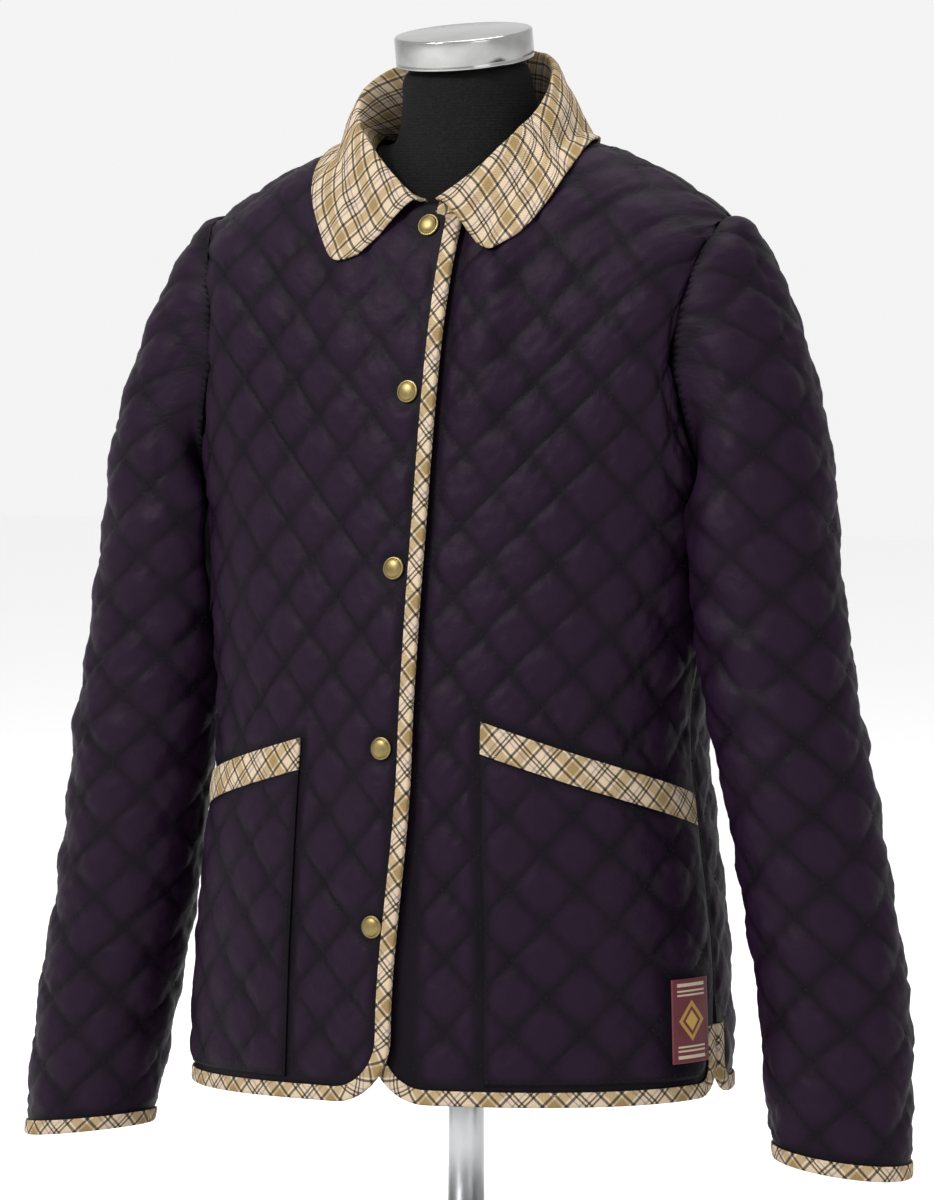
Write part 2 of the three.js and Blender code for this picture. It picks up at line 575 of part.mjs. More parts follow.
// Keeps points off a sampled face: at least `clear` outside it, or inside it for a negative turn.
function keeper(faces, fromTop, step, turn, clear) {
  const samples = [];
  for (const { face, low, high, top } of faces)
    for (let p = low; p <= high; p += step)
      for (let q = fromTop < 0 ? 0 : top(p) - fromTop; q <= top(p); q += step)
        samples.push({ place: face.at(p, q), normal: face.normal(p, q) });
  return (point) => {
    let best = null, near = Infinity;
    for (const s of samples) {
      const d = s.place.distanceToSquared(point);
      if (d < near) near = d, best = s;
    }
    const away = point.clone().sub(best.place).dot(best.normal) * turn;
    return away < clear ? point.clone().addScaledVector(best.normal, (clear - away) * turn) : point;
  };
}

const rightFront = bodySurface(-1, -1, LAP_LIFT);
const leftFront = bodySurface(-1, 1, 0);
const backFace = bodySurface(1, 1, 0);
const leftSleeve = sleeveSurface(1);
const rightSleeve = sleeveSurface(-1);

// The panels' neckline as it is built, straight between their columns.
const NECK_COLUMNS = [0, CELL, 2 * CELL, NECK_SHARE * QUARTER];
function neckEdge(p, side) {
  let i = 1;
  while (i < NECK_COLUMNS.length - 1 && NECK_COLUMNS[i] < p) i++;
  const [a, b] = [NECK_COLUMNS[i - 1], NECK_COLUMNS[i]], t = clamp((p - a) / (b - a), 0, 1);
  const read = (at) => ({ ...columnEnd(at / QUARTER, side), normal: bodySurface(side, 1, 0).normal(at, bodyTop(at, side)) });
  const low = read(a), high = read(b);
  return {
    end: low.end.lerp(high.end, t),
    heading: low.heading.lerp(high.heading, t).normalize(),
    normal: low.normal.lerp(high.normal, t).normalize(),
  };
}

// The collar: each station runs up the stand, over the fold and down the fall; s is -1 to 1 round the neck.
function collarGeometry() {
  const keepOut = keeper([
    { face: rightFront, low: -LAP, high: 150, top: (p) => bodyTop(p, -1) },
    { face: leftFront, low: 0, high: 150, top: (p) => bodyTop(p, -1) },
    { face: backFace, low: -150, high: 150, top: (p) => bodyTop(p, 1) },
  ], 110, 7, 1, COLLAR_CLEAR);
  const stations = [0, 0.03, 0.06, 0.13, 0.19, 0.25, 0.32, 0.38, 0.44, 0.5, 0.56, 0.62, 0.68, 0.75, 0.82, 0.88, 0.94, 1];
  const all = [...stations.map((s) => -1 + s), ...stations.slice(0, -1).reverse().map((s) => 1 - s)];
  const bases = [];
  const grid = all.map((place) => {
    const s = 1 - Math.abs(place), hand = place < 0 ? -1 : 1;
    const read = (key) => column(COLLAR, key, "s", s);
    const frontPart = 0.44;
    const neckP = QUARTER * NECK_SHARE, isFront = s < frontPart;
    const p = isFront ? lerp(4, neckP, s / frontPart) : neckP * (1 - (s - frontPart) / (1 - frontPart));
    const { end, heading, normal } = neckEdge(p, isFront ? -1 : 1);
    const beside = 1 - smooth(Math.abs(s - frontPart), 0, 0.08);
    const base = end.addScaledVector(heading, 1);
    base.z += 3.2 * (1 - smooth(Math.abs(s - frontPart), 0.1, 0.32));
    normal.lerp(vec(0.95, 0, 0.1), beside).normalize();
    if (hand < 0 && isFront) base.addScaledVector(normal, LAP_LIFT * (1 - smooth(p, -4, 62)));
    bases.push(vec(base.x * hand, base.y, base.z).addScaledVector(normal.setX(normal.x * hand), COLLAR_CLOTH));
    const wide = hand < 0 ? COLLAR_RIGHT : { fold: 1, edge: 1, drop: 0 };
    const fold = vec(read("foldX") * wide.fold, read("foldY"), read("foldZ"));
    const edge = vec(read("edgeX") * wide.edge, read("edgeY"), read("edgeZ") - wide.drop * (1 - smooth(s, 0.1, 0.35)));
    const out = edge.clone().sub(fold).setZ(0).normalize();
    const rise = fold.distanceTo(base);
    const roll = Math.min(9, rise * 0.7);
    const line = [];
    for (let i = 0; i <= 3; i++)
      line.push(hermite(base, heading.clone().multiplyScalar(rise), fold, out.clone().multiplyScalar(roll), i / 3));
    const drop = edge.clone().sub(fold);
    for (let i = 1; i <= 6; i++)
      line.push(hermite(fold, out.clone().multiplyScalar(roll * 3), edge, drop.clone().multiplyScalar(0.9), (i / 6) ** 1.3));
    return line.map((v, i) => {
      const placed = vec(v.x * hand, v.y, v.z);
      return i > 4 ? keepOut(keepOut(placed)) : placed;
    });
  });
  const rows = grid.length, cols = grid[0].length;
  const outer = grid.map((row, j) => row.map((v, i) => {
    if (i === 0) return bases[j];
    const along = grid[Math.min(j + 1, rows - 1)][i].clone().sub(grid[Math.max(j - 1, 0)][i]);
    const across = row[Math.min(i + 1, cols - 1)].clone().sub(row[Math.max(i - 1, 0)]);
    return v.clone().addScaledVector(along.cross(across).normalize(), -COLLAR_CLOTH);
  }));
  return wallGeometry(grid, outer, grid.map((row) => row.map(() => 0)), false);
}

// The dress form: a loop of columns inside the jacket's, closed below, along the shoulders and over the
// arm plates, and carried on up as the neck.
const FORM_COLUMNS = [{ high: 0, low: 0 }, ...SIDE_COLUMNS];
const NECK_COLUMN = 3;
function formPoint(index, level, side, hand) {
  const col = FORM_COLUMNS[index], isSide = col.high === QUARTER;
  const p = isSide ? QUARTER : columnAt(col, level);
  const top = bodyTop(p, side), atTop = level > top - 4, q = atTop ? top : level;
  const place = bodyPoint(p, q, side);
  const besideArm = 5 * smooth(p, 178, 200) * smooth(place.z, 510, 560);
  const gap = Math.max(column(FORM_GAP, "gap", "z", place.z) + besideArm, 2.6 * (1 - smooth(p, 46, 68)));
  let inward = bodySurface(side, 1, 0).normal(p, q);
  if (isSide) inward = vec(1, 0, 0);
  const onArm = atTop && p > QUARTER * SHOULDER_SHARE + 1;
  if (atTop && index >= NECK_COLUMN) inward = onArm ? inward.multiplyScalar(1.4).add(vec(0.8, 0, 0.1)).normalize() : vec(0, 0, 1);
  place.addScaledVector(inward, onArm ? -gap - 3.5 : -gap);
  return vec(index ? place.x * hand : 0, place.y, level === FORM_FOOT ? HEM_Z + FORM_FOOT : place.z);
}
function formGeometry() {
  const last = FORM_COLUMNS.length - 1, points = [], faces = [], loop = [];
  for (let i = 0; i <= last; i++) loop.push([i, -1, 1]);
  for (let i = last - 1; i >= 0; i--) loop.push([i, 1, 1]);
  for (let i = 1; i <= last; i++) loop.push([i, 1, -1]);
  for (let i = last - 1; i > 0; i--) loop.push([i, -1, -1]);
  const around = loop.length, levels = [FORM_FOOT];
  for (let j = 4; j <= 14; j += 2) levels.push(j * CELL);
  for (let j = 16; j < 30; j++) levels.push(j * CELL);
  for (const level of levels) for (const [i, side, hand] of loop) points.push(formPoint(i, level, side, hand));
  const id = (j, i) => j * around + (i % around);
  const quad = (a, b, c, d) => faces.push([a, b, c], [a, c, d]);
  for (let j = 0; j < levels.length - 1; j++)
    for (let i = 0; i < around; i++) {
      const ring = [id(j, i), id(j, i + 1), id(j + 1, i + 1), id(j + 1, i)];
      if (i >= last) ring.push(ring.shift());
      quad(...ring);
    }
  const topRow = levels.length - 1;
  const at = (index, side, hand) => id(topRow, loop.findIndex(([i, s, h]) =>
    i === index && (i === 0 || h === hand) && (i === last || s === side)));
  for (const hand of [1, -1])
    for (let i = NECK_COLUMN; i < last; i++) {
      const ring = [at(i, -1, hand), at(i + 1, -1, hand), at(i + 1, 1, hand), at(i, 1, hand)];
      quad(...(hand > 0 ? ring : ring.reverse()));
    }
  const neckOrder = [...[0, 1, 2, 3].map((i) => [i, -1, 1]), ...[3, 2, 1, 0].map((i) => [i, 1, 1]),
    ...[1, 2, 3].map((i) => [i, 1, -1]), ...[3, 2, 1].map((i) => [i, -1, -1])];
  let ring = neckOrder.map(([i, side, hand]) => at(i, side, hand));
  const foot = ring.map((i) => points[i].clone());
  const onRing = (row, place) => {
    const a = Math.atan2(place.x, -place.y);
    return vec(row.half * Math.sin(a), row.y - row.deep * Math.cos(a), row.z - row.deep * Math.cos(a) * Math.tan(rad(NECK_TILT)));
  };
  const rings = [0.3, 0.65].map((t) => foot.map((v) => {
    const on = onRing(NECK[0], v);
    return vec(lerp(v.x, on.x, t ** 0.6), lerp(v.y, on.y, t ** 0.6), lerp(v.z, on.z, t));
  }));
  for (const row of NECK) rings.push(foot.map((v) => onRing(row, v)));
  for (const places of rings) {
    const next = places.map((v) => points.push(v) - 1);
    next.forEach((v, i) => quad(ring[i], ring[(i + 1) % ring.length], next[(i + 1) % ring.length], v));
    ring = next;
  }
  const lid = points.push(vec(0, NECK[NECK.length - 1].y, NECK[NECK.length - 1].z)) - 1;
  const floor = points.push(vec(0, -10, HEM_Z + FORM_FOOT)) - 1;
  ring.forEach((v, i) => faces.push([v, ring[(i + 1) % ring.length], lid]));
  for (let i = 0; i < around; i++) faces.push([id(0, i + 1), id(0, i), floor]);
  return solidGeometry(points, faces);
}

const group = new THREE.Group();
function add(name, geometry, colour) {
  const mesh = new THREE.Mesh(geometry, new THREE.MeshStandardMaterial({ color: colour }));
  mesh.name = name;
  group.add(mesh);
}
const QUILTED = 0x241f33, PLAID = 0xcdb98c, BRASS = 0x9a7440, JERSEY = 0x131314, CHROME = 0xb9bcc0, MAROON = 0x5b1f2b;

const frontColumns = [...CENTRE_COLUMNS, ...SIDE_COLUMNS];
const backColumns = [...SIDE_COLUMNS.map(({ high, low }) => ({ high: -high, low: -low })).reverse(),
  { high: 0, low: 0 }, ...SIDE_COLUMNS];
const frontGrid = panelGrid(frontColumns, -1);
const backGrid = panelGrid(backColumns, 1);
add("right_front", sheetGeometry(rightFront, frontGrid, frontRelief("right"), 0, CLOTH, false, lowerHalf), QUILTED);
add("left_front", sheetGeometry(leftFront, frontGrid, frontRelief("left"), 0, CLOTH, false, lowerHalf), QUILTED);
add("back", sheetGeometry(backFace, backGrid, backRelief, 0, CLOTH, false, lowerHalf), QUILTED);
for (const [name, face] of [["left_sleeve", leftSleeve], ["right_sleeve", rightSleeve]])
  add(name, sheetGeometry(face, sleeveGrid(face), sleeveRelief(face), 0, CLOTH, true, lowerHalf), QUILTED);
add("collar", collarGeometry(), PLAID);

// Bindings follow the panels' own outline points.
const distinct = (places) => places.filter((v, i) => !i || Math.hypot(v[0] - places[i - 1][0], v[1] - places[i - 1][1]) > 1);
const vent = (grid, i) => grid.map((row) => row[i]).filter(([, q]) => q < VENT_HEIGHT + 0.5);
const frontEdge = frontGrid.map((row) => row[0]).reverse();
const frontPath = distinct([...frontEdge, ...frontGrid[0].slice(1), ...vent(frontGrid, frontColumns.length - 1)]);
const backPath = distinct([...vent(backGrid, 0).reverse(), ...backGrid[0], ...vent(backGrid, backColumns.length - 1)]);
add("right_front_binding", bindingGeometry(rightFront, frontPath), PLAID);
add("left_front_binding", bindingGeometry(leftFront, frontPath), PLAID);
add("back_binding", bindingGeometry(backFace, backPath), PLAID);
const cuffPath = SLEEVE_ANGLES.slice(0, -1).map((a) => [(a / 360) * SLEEVE_ROUND, 0]);
add("left_cuff_binding", bindingGeometry(leftSleeve, cuffPath, true), PLAID);
add("right_cuff_binding", bindingGeometry(rightSleeve, cuffPath, true), PLAID);

// Patch pockets, with a plaid band along each sloping top, and the label on the left one.
const pocketColumns = [POCKET.inner, 82, 94, 117.5, 141, 164.5, 188, 211.5, 235, POCKET.outer];
function pocketGrid(side) {
  const rows = [];
  for (let j = 0; j <= 10; j++)
    rows.push(pocketColumns.map((p) => [
      Math.min(p, sideEdge(0) - 12 + smooth(j * CELL, 40, 70) * 12),
      clamp(j * CELL, POCKET.foot + drawBack(14, sideEdge(0) - 12 - p), bandTop(p, side) - POCKET.band - SEAM),
    ]));
  return rows;
}
const nearLabel = (p, q) => p > LABEL.p - LABEL.wide / 2 - CELL && q < LABEL.q + LABEL.tall / 2 + CELL;
const pocketRelief = (side) => (p, q) => (side === "left" && nearLabel(p, q) ? 0
  : PUFF * 0.8 * quilt(p, q) * smooth(p - POCKET.inner, 0, 10) * smooth(q, 12, 22)
    * smooth(bandTop(p, side) - POCKET.band - q, 0, 12) * smooth(POCKET.outer - p, 0, 8));
for (const [side, face] of [["left", leftFront], ["right", rightFront]]) {
  const band = [0, 1].map((k) => pocketColumns.map((p) => [p, bandTop(p, side) - POCKET.band * (1 - k)]));
  add(side + "_pocket", sheetGeometry(face, pocketGrid(side), pocketRelief(side), CLOTH + 0.6, PATCH_CLOTH), QUILTED);
  add(side + "_pocket_band", sheetGeometry(face, band, () => 0, CLOTH + 0.6, 2.2), PLAID);
}
const labelGrid = [-1, 0, 1].map((k) => [-1, -0.4, 0.3, 1].map((i) => [LABEL.p + (i * LABEL.wide) / 2, LABEL.q + (k * LABEL.tall) / 2]));
add("label", sheetGeometry(leftFront, labelGrid, () => 0, CLOTH + 0.6 + PATCH_CLOTH + 0.6, LABEL.thick), MAROON);

// Snaps: shallow brass domes on the right front.
const dome = [[0, 0], [SNAP_RADIUS, 0], [SNAP_RADIUS, 1.2], [6, 2.7], [0, 3.7]];
SNAPS.forEach(({ p, q }, i) => {
  const shape = new THREE.LatheGeometry(dome.map(([r, h]) => new THREE.Vector2(r, h)), 16);
  const turn = new THREE.Quaternion().setFromUnitVectors(vec(0, 1, 0), rightFront.normal(p, q));
  const place = rightFront.off(p, q, CLOTH + 0.5);
  shape.applyMatrix4(new THREE.Matrix4().compose(place, turn, vec(1, 1, 1)));
  shape.deleteAttribute("uv"), shape.deleteAttribute("normal");
  const points = [], at = shape.attributes.position;
  for (let k = 0; k < at.count; k++) points.push(vec(at.getX(k), at.getY(k), at.getZ(k)));
  const faces = [];
  for (let k = 0; k < shape.index.count; k += 3) faces.push([...shape.index.array.slice(k, k + 3)]);
  add("snap_" + (SNAPS.length - i), solidGeometry(points, faces), BRASS);
});

// Dress form, its cap and the stand.
add("dress_form", formGeometry(), JERSEY);
function lathe(name, profile, segments, colour, place, tilt = 0) {
  const shape = new THREE.LatheGeometry(profile.map(([r, h]) => new THREE.Vector2(r, h)), segments);
  shape.rotateX(Math.PI / 2 + rad(tilt));
  shape.translate(place.x, place.y, place.z);
  const points = [], at = shape.attributes.position, faces = [];
  for (let k = 0; k < at.count; k++) points.push(vec(at.getX(k), at.getY(k), at.getZ(k)));
  for (let k = 0; k < shape.index.count; k += 3) faces.push([...shape.index.array.slice(k, k + 3)]);
  add(name, solidGeometry(points, faces), colour);
}
const neckTop = NECK[NECK.length - 1];
lathe("neck_cap", [[0, 0], [CAP_RADIUS, 0], [CAP_RADIUS, CAP_HEIGHT - 3], [CAP_RADIUS - 3, CAP_HEIGHT], [0, CAP_HEIGHT]],
  40, CHROME, vec(0, neckTop.y - 0.1, neckTop.z + 0.4), NECK_TILT);
lathe("pole", [[0, 0], [POLE_RADIUS, 0], [POLE_RADIUS, POLE_HEIGHT], [0, POLE_HEIGHT]],
  28, CHROME, vec(0, -10, BASE_HEIGHT + 0.3));
lathe("base", [[0, 0], [BASE_RADIUS, 0], [BASE_RADIUS, BASE_HEIGHT - 3], [BASE_RADIUS - 3, BASE_HEIGHT], [0, BASE_HEIGHT]],
  48, CHROME, vec(0, -10, 0));

export default group;
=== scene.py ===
import math
import bmesh
import bpy
import numpy as np
from mathutils import Matrix, Vector


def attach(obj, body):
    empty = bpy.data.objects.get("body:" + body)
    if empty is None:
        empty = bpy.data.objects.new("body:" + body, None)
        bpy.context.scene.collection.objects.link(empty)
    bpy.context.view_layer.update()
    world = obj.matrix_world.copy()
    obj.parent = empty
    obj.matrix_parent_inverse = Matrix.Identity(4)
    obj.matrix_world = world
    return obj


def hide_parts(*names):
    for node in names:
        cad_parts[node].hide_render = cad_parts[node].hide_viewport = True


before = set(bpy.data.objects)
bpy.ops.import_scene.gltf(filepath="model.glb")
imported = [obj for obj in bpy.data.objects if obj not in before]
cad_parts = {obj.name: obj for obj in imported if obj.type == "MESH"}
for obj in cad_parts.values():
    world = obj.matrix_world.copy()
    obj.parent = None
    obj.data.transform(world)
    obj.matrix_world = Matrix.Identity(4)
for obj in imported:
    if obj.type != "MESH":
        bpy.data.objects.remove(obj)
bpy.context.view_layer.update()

# Studio: a pale floor, large soft lamps and the camera at the photograph's height and angle.
# The camera stands 4.2 m away, 27 degrees round to the wearer's left, level with the shoulders.
CAMERA_AWAY, EYE_HEIGHT, FOCAL_LENGTH, FILM_HEIGHT = 4.2, 0.69, 189, 36
CAMERA_TURN, LOOK_DOWN, LOOK_ASIDE = math.radians(27), math.radians(3.43), math.radians(0.055)
FLOOR_HALF, FLOOR_DROP = 9, 0.0005
scene = bpy.context.scene


def placed(name, data):
    """A new object in the scene."""
    made = bpy.data.objects.new(name, data)
    scene.collection.objects.link(made)
    return made


def shade_smooth(mesh):
    mesh.polygons.foreach_set("use_smooth", np.ones(len(mesh.polygons), bool))


def fill(made, inputs):
    """Sets a node's inputs, linking those given as an output or as a node, which means its first output."""
    for key, value in inputs.items():
        if isinstance(value, bpy.types.Node):
            value = value.outputs[0]
        if isinstance(value, bpy.types.NodeSocket):
            made.id_data.links.new(value, made.inputs[key])
        else:
            made.inputs[key].default_value = value
    return made


def node(tree, kind, inputs=None, **values):
    """Adds a node. Values are its settings and one-word inputs; inputs has the others by name or number."""
    made = tree.nodes.new(kind)
    for key, value in values.items():
        if key in made.inputs:
            fill(made, {key: value})
        else:
            setattr(made, key, value)
    return fill(made, inputs or {})


def material(name, inputs):
    """A material with these inputs of its shader, followed by its node tree and the shader."""
    made = bpy.data.materials.new(name)
    made.use_nodes = True
    return made, made.node_tree, fill(made.node_tree.nodes["Principled BSDF"], inputs)


def lamp(name, place, aim, size, watts):
    data = bpy.data.lights.new(name, "AREA")
    data.shape, data.size, data.energy = "SQUARE", size, watts
    made = placed(name, data)
    made.location = place
    made.rotation_euler = (Vector(aim) - Vector(place)).to_track_quat("-Z", "Y").to_euler()


lens = bpy.data.cameras.new("camera")
lens.sensor_fit, lens.sensor_width, lens.sensor_height = "VERTICAL", FILM_HEIGHT, FILM_HEIGHT
lens.lens, lens.clip_end = FOCAL_LENGTH, 60
camera = placed("camera", lens)
camera.location = (CAMERA_AWAY * math.sin(CAMERA_TURN), -CAMERA_AWAY * math.cos(CAMERA_TURN), EYE_HEIGHT)
camera.rotation_euler = (math.radians(90) - LOOK_DOWN, 0, CAMERA_TURN + LOOK_ASIDE)
scene.camera = camera
lamp("key", (-1.3, -2.7, 2.6), (0, 0, 0.5), 0.9, 110)
lamp("fill", (3.2, -2.4, 1.3), (0, 0, 0.45), 1.8, 22)
lamp("top", (0.1, 0.2, 3.0), (0, 0, 0.4), 1.6, 42)
world = bpy.data.worlds.new("studio")
world.use_nodes = True
fill(world.node_tree.nodes["Background"], {"Color": (1, 1, 1, 1), "Strength": 0.9})
scene.world = world
scene.view_settings.view_transform = "Standard"

floor_mesh = bpy.data.meshes.new("floor")
corners = [(-1, -1), (1, -1), (1, 1), (-1, 1)]
floor_mesh.from_pydata([(x * FLOOR_HALF, y * FLOOR_HALF, -FLOOR_DROP) for x, y in corners], [],
                       [(0, 1, 2, 3)])
floor = placed("floor", floor_mesh)
floor_mesh.materials.append(material("pale floor",
                                     {"Base Color": (0.97, 0.97, 0.97, 1), "Roughness": 0.9})[0])


def dress(piece, slot, *cad, cloth=None):
    """Gives a piece its material and puts it on the part's one body, in place of the solids it stands for;
    its slot is not used.
    """
    if cloth:
        piece.data.materials.append(cloth)
    if cad:
        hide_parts(*cad)
    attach(piece, "root")
    return piece


# Jacket body cloth: polyester satin quilted over thin wadding, cut as two fronts and a back.
# Its faces follow rings round the body up to the armholes, then columns that run over the shoulders.
MM = 0.001
CELL, CLOTH, PUFF, SEAM = 23.5, 2.0, 2.6, 0.6
QUARTER, HEM_Z, HEM_TILT, RING_TOP = 252.0, 118.0, 0.018, 470.0
NECK_SHARE, SHOULDER_SHARE = 0.27, 0.7
LAP, LAP_LIFT, LAP_AWAY = 21.5, 6.0, 13.5
TOP_CORNER, FRONT_CORNER, VENT_CORNER, VENT_HEIGHT, VENT_INSET = 18.0, 42.0, 20.0, 47.0, 3.0
BODY = np.array([  # height, half width, depth in front, depth behind
    (90, 187, 133, 96), (117, 186, 132, 96), (170, 184, 130, 96), (220, 181, 128, 96), (300, 172, 125, 90),
    (360, 167, 121, 85), (412, 172, 115, 88), (470, 180, 107, 95), (520, 184, 96, 100)], float)
NECK_SIDE, NECK_FRONT, NECK_BACK = np.array([72., 6, 745]), np.array([0., -53, 700]), np.array([0., 60, 736])
ARM_X, ARM_Y, ARM_Z, ARM_RISE, ARM_FRONT, ARM_BACK, ARM_OUT, ARM_UNDER = 165, 2, 598, 94, 52, 45, 22, 20


def smooth(v, low, high):
    t = np.clip((np.asarray(v, float) - low) / (high - low), 0, 1)
    return t * t * (3 - 2 * t)


def mix(a, b, t):
    return a + (b - a) * t


def unit(v):
    return v / np.maximum(np.linalg.norm(v, axis=-1, keepdims=True), 1e-12)


def along(rows, k, at):
    """Smooth value of a table's column k at places along its first column."""
    x, y, at = rows[:, 0], rows[:, k], np.asarray(at, float)
    i = np.clip(np.searchsorted(x, at), 1, len(x) - 1)
    a, b, before, after = i - 1, i, np.maximum(i - 2, 0), np.minimum(i + 1, len(x) - 1)
    step = x[b] - x[a]
    t = (at - x[a]) / step
    ma, mb = (y[b] - y[before]) / (x[b] - x[before]) * step, (y[after] - y[a]) / (x[after] - x[a]) * step
    s = np.clip(t, 0, 1)
    inside = y[a] * (2 * s**3 - 3 * s**2 + 1) + ma * (s**3 - 2 * s**2 + s) + y[b] * (3 * s**2 - 2
            * s**3) + mb * (s**3 - s**2)
    return inside + np.where(t < 0, ma * t, 0) + np.where(t > 1, mb * (t - 1), 0)


def hermite(a, ta, b, tb, t):
    t = np.asarray(t, float)[..., None]
    return a * (2 * t**3 - 3 * t**2 + 1) + ta * (t**3 - 2 * t**2 + t) + b * (3 * t**2 - 2
            * t**3) + tb * (t**3 - t**2)


def ring_point(z, share, side):
    half, front, back = (along(BODY, k, z) for k in (1, 2, 3))
    a = np.linspace(0, math.pi / 2, 91)
    x = half * np.sin(a) ** (2 / 2.35)
    y = (back - front) / 2 + side * (front + back) / 2 * np.abs(np.cos(a)) ** (2 / 2.35)
    run = np.concatenate([[0], np.cumsum(np.hypot(np.diff(x), np.diff(y)))])
    want = np.minimum(np.abs(share), 1) * run[-1]
    return np.array([np.interp(want, run, x) * (-1 if share < 0 else 1), np.interp(want, run, y), z])


def armhole_point(angle, side):
    c, s = math.cos(angle), math.sin(angle)
    lean = ARM_OUT * c**1.6 if c > 0 else ARM_UNDER * (-c) ** 0.95
    return np.array([ARM_X + lean, ARM_Y + side * (ARM_FRONT if side < 0 else ARM_BACK) * max(s, 0) ** 0.9,
                     ARM_Z + ARM_RISE * c])


def column_end(share, side):
    over_shoulder = np.array([0.08, -side, 0.12])
    if share <= NECK_SHARE:
        middle, t = (NECK_FRONT if side < 0 else NECK_BACK), share / NECK_SHARE
        curve = 1 - math.sqrt(max(1 - t * t, 0))
        end = np.array([NECK_SIDE[0] * t, mix(middle[1], NECK_SIDE[1], curve),
                        mix(middle[2], NECK_SIDE[2], curve**0.9)])
        rise = np.array([0, 0.4, 0.9]) if side < 0 else np.array([0, -0.55, 0.85])
        return end, unit(mix(rise, over_shoulder, t * t))
    t = (share - NECK_SHARE) / (SHOULDER_SHARE - NECK_SHARE)
    end = mix(NECK_SIDE, armhole_point(0, side), t)
    end[2] += 8 * math.sin(math.pi * t)
    return end, unit(mix(over_shoulder, np.array([0.3, -side, 0.05]), t))


def armhole_edge(z, side):
    foot = ARM_Z - ARM_RISE
    if z >= foot:
        return armhole_point(math.acos(min(max((z - ARM_Z) / ARM_RISE, -1), 1)), side)
    return mix(ring_point(RING_TOP, 1, side), armhole_point(math.pi, side),
               (z - RING_TOP) / (foot - RING_TOP))


def body_column(share, side, tip=None):
    steps = 30
    low = [ring_point(z, share, side) for z in np.linspace(HEM_Z - 20, RING_TOP, steps, endpoint=False)]
    size = abs(share)
    if size > SHOULDER_SHARE + 1e-6:
        start = (size - SHOULDER_SHARE) / (1 - SHOULDER_SHARE)
        a, b = ring_point(RING_TOP, SHOULDER_SHARE, side), ring_point(RING_TOP, 1, side)
        top_z, high = armhole_point(math.pi * start, side)[2], []
        for t in np.linspace(0, 1, steps + 1):
            z, across = mix(RING_TOP, top_z, t), start + (1 - start) * t * t
            frm = np.array([np.interp(z, tip[:, 2], tip[:, k]) for k in range(3)])
            edge = armhole_edge(z, side)
            bulge = ring_point(RING_TOP, mix(SHOULDER_SHARE, 1, across), side) - mix(a, b, across)
            p = mix(frm, edge, across) + bulge * np.linalg.norm(frm - edge) / np.linalg.norm(a - b)
            high.append([p[0] * (-1 if share < 0 else 1), p[1], z])
    else:
        frm = ring_point(RING_TOP, share, side)
        leave = unit(frm - ring_point(RING_TOP - 6, share, side))
        end, heading = column_end(size, side)
        if share < 0:
            end, heading = end * [-1, 1, 1], heading * [-1, 1, 1]
        span = np.linalg.norm(end - frm)
        high = hermite(frm, leave * span * 1.05, end, heading * span * (0.9 + 0.25 * smooth(size, 0.45, 0.7)),
                       np.linspace(0, 1, steps + 1))
    return np.vstack([low, high])


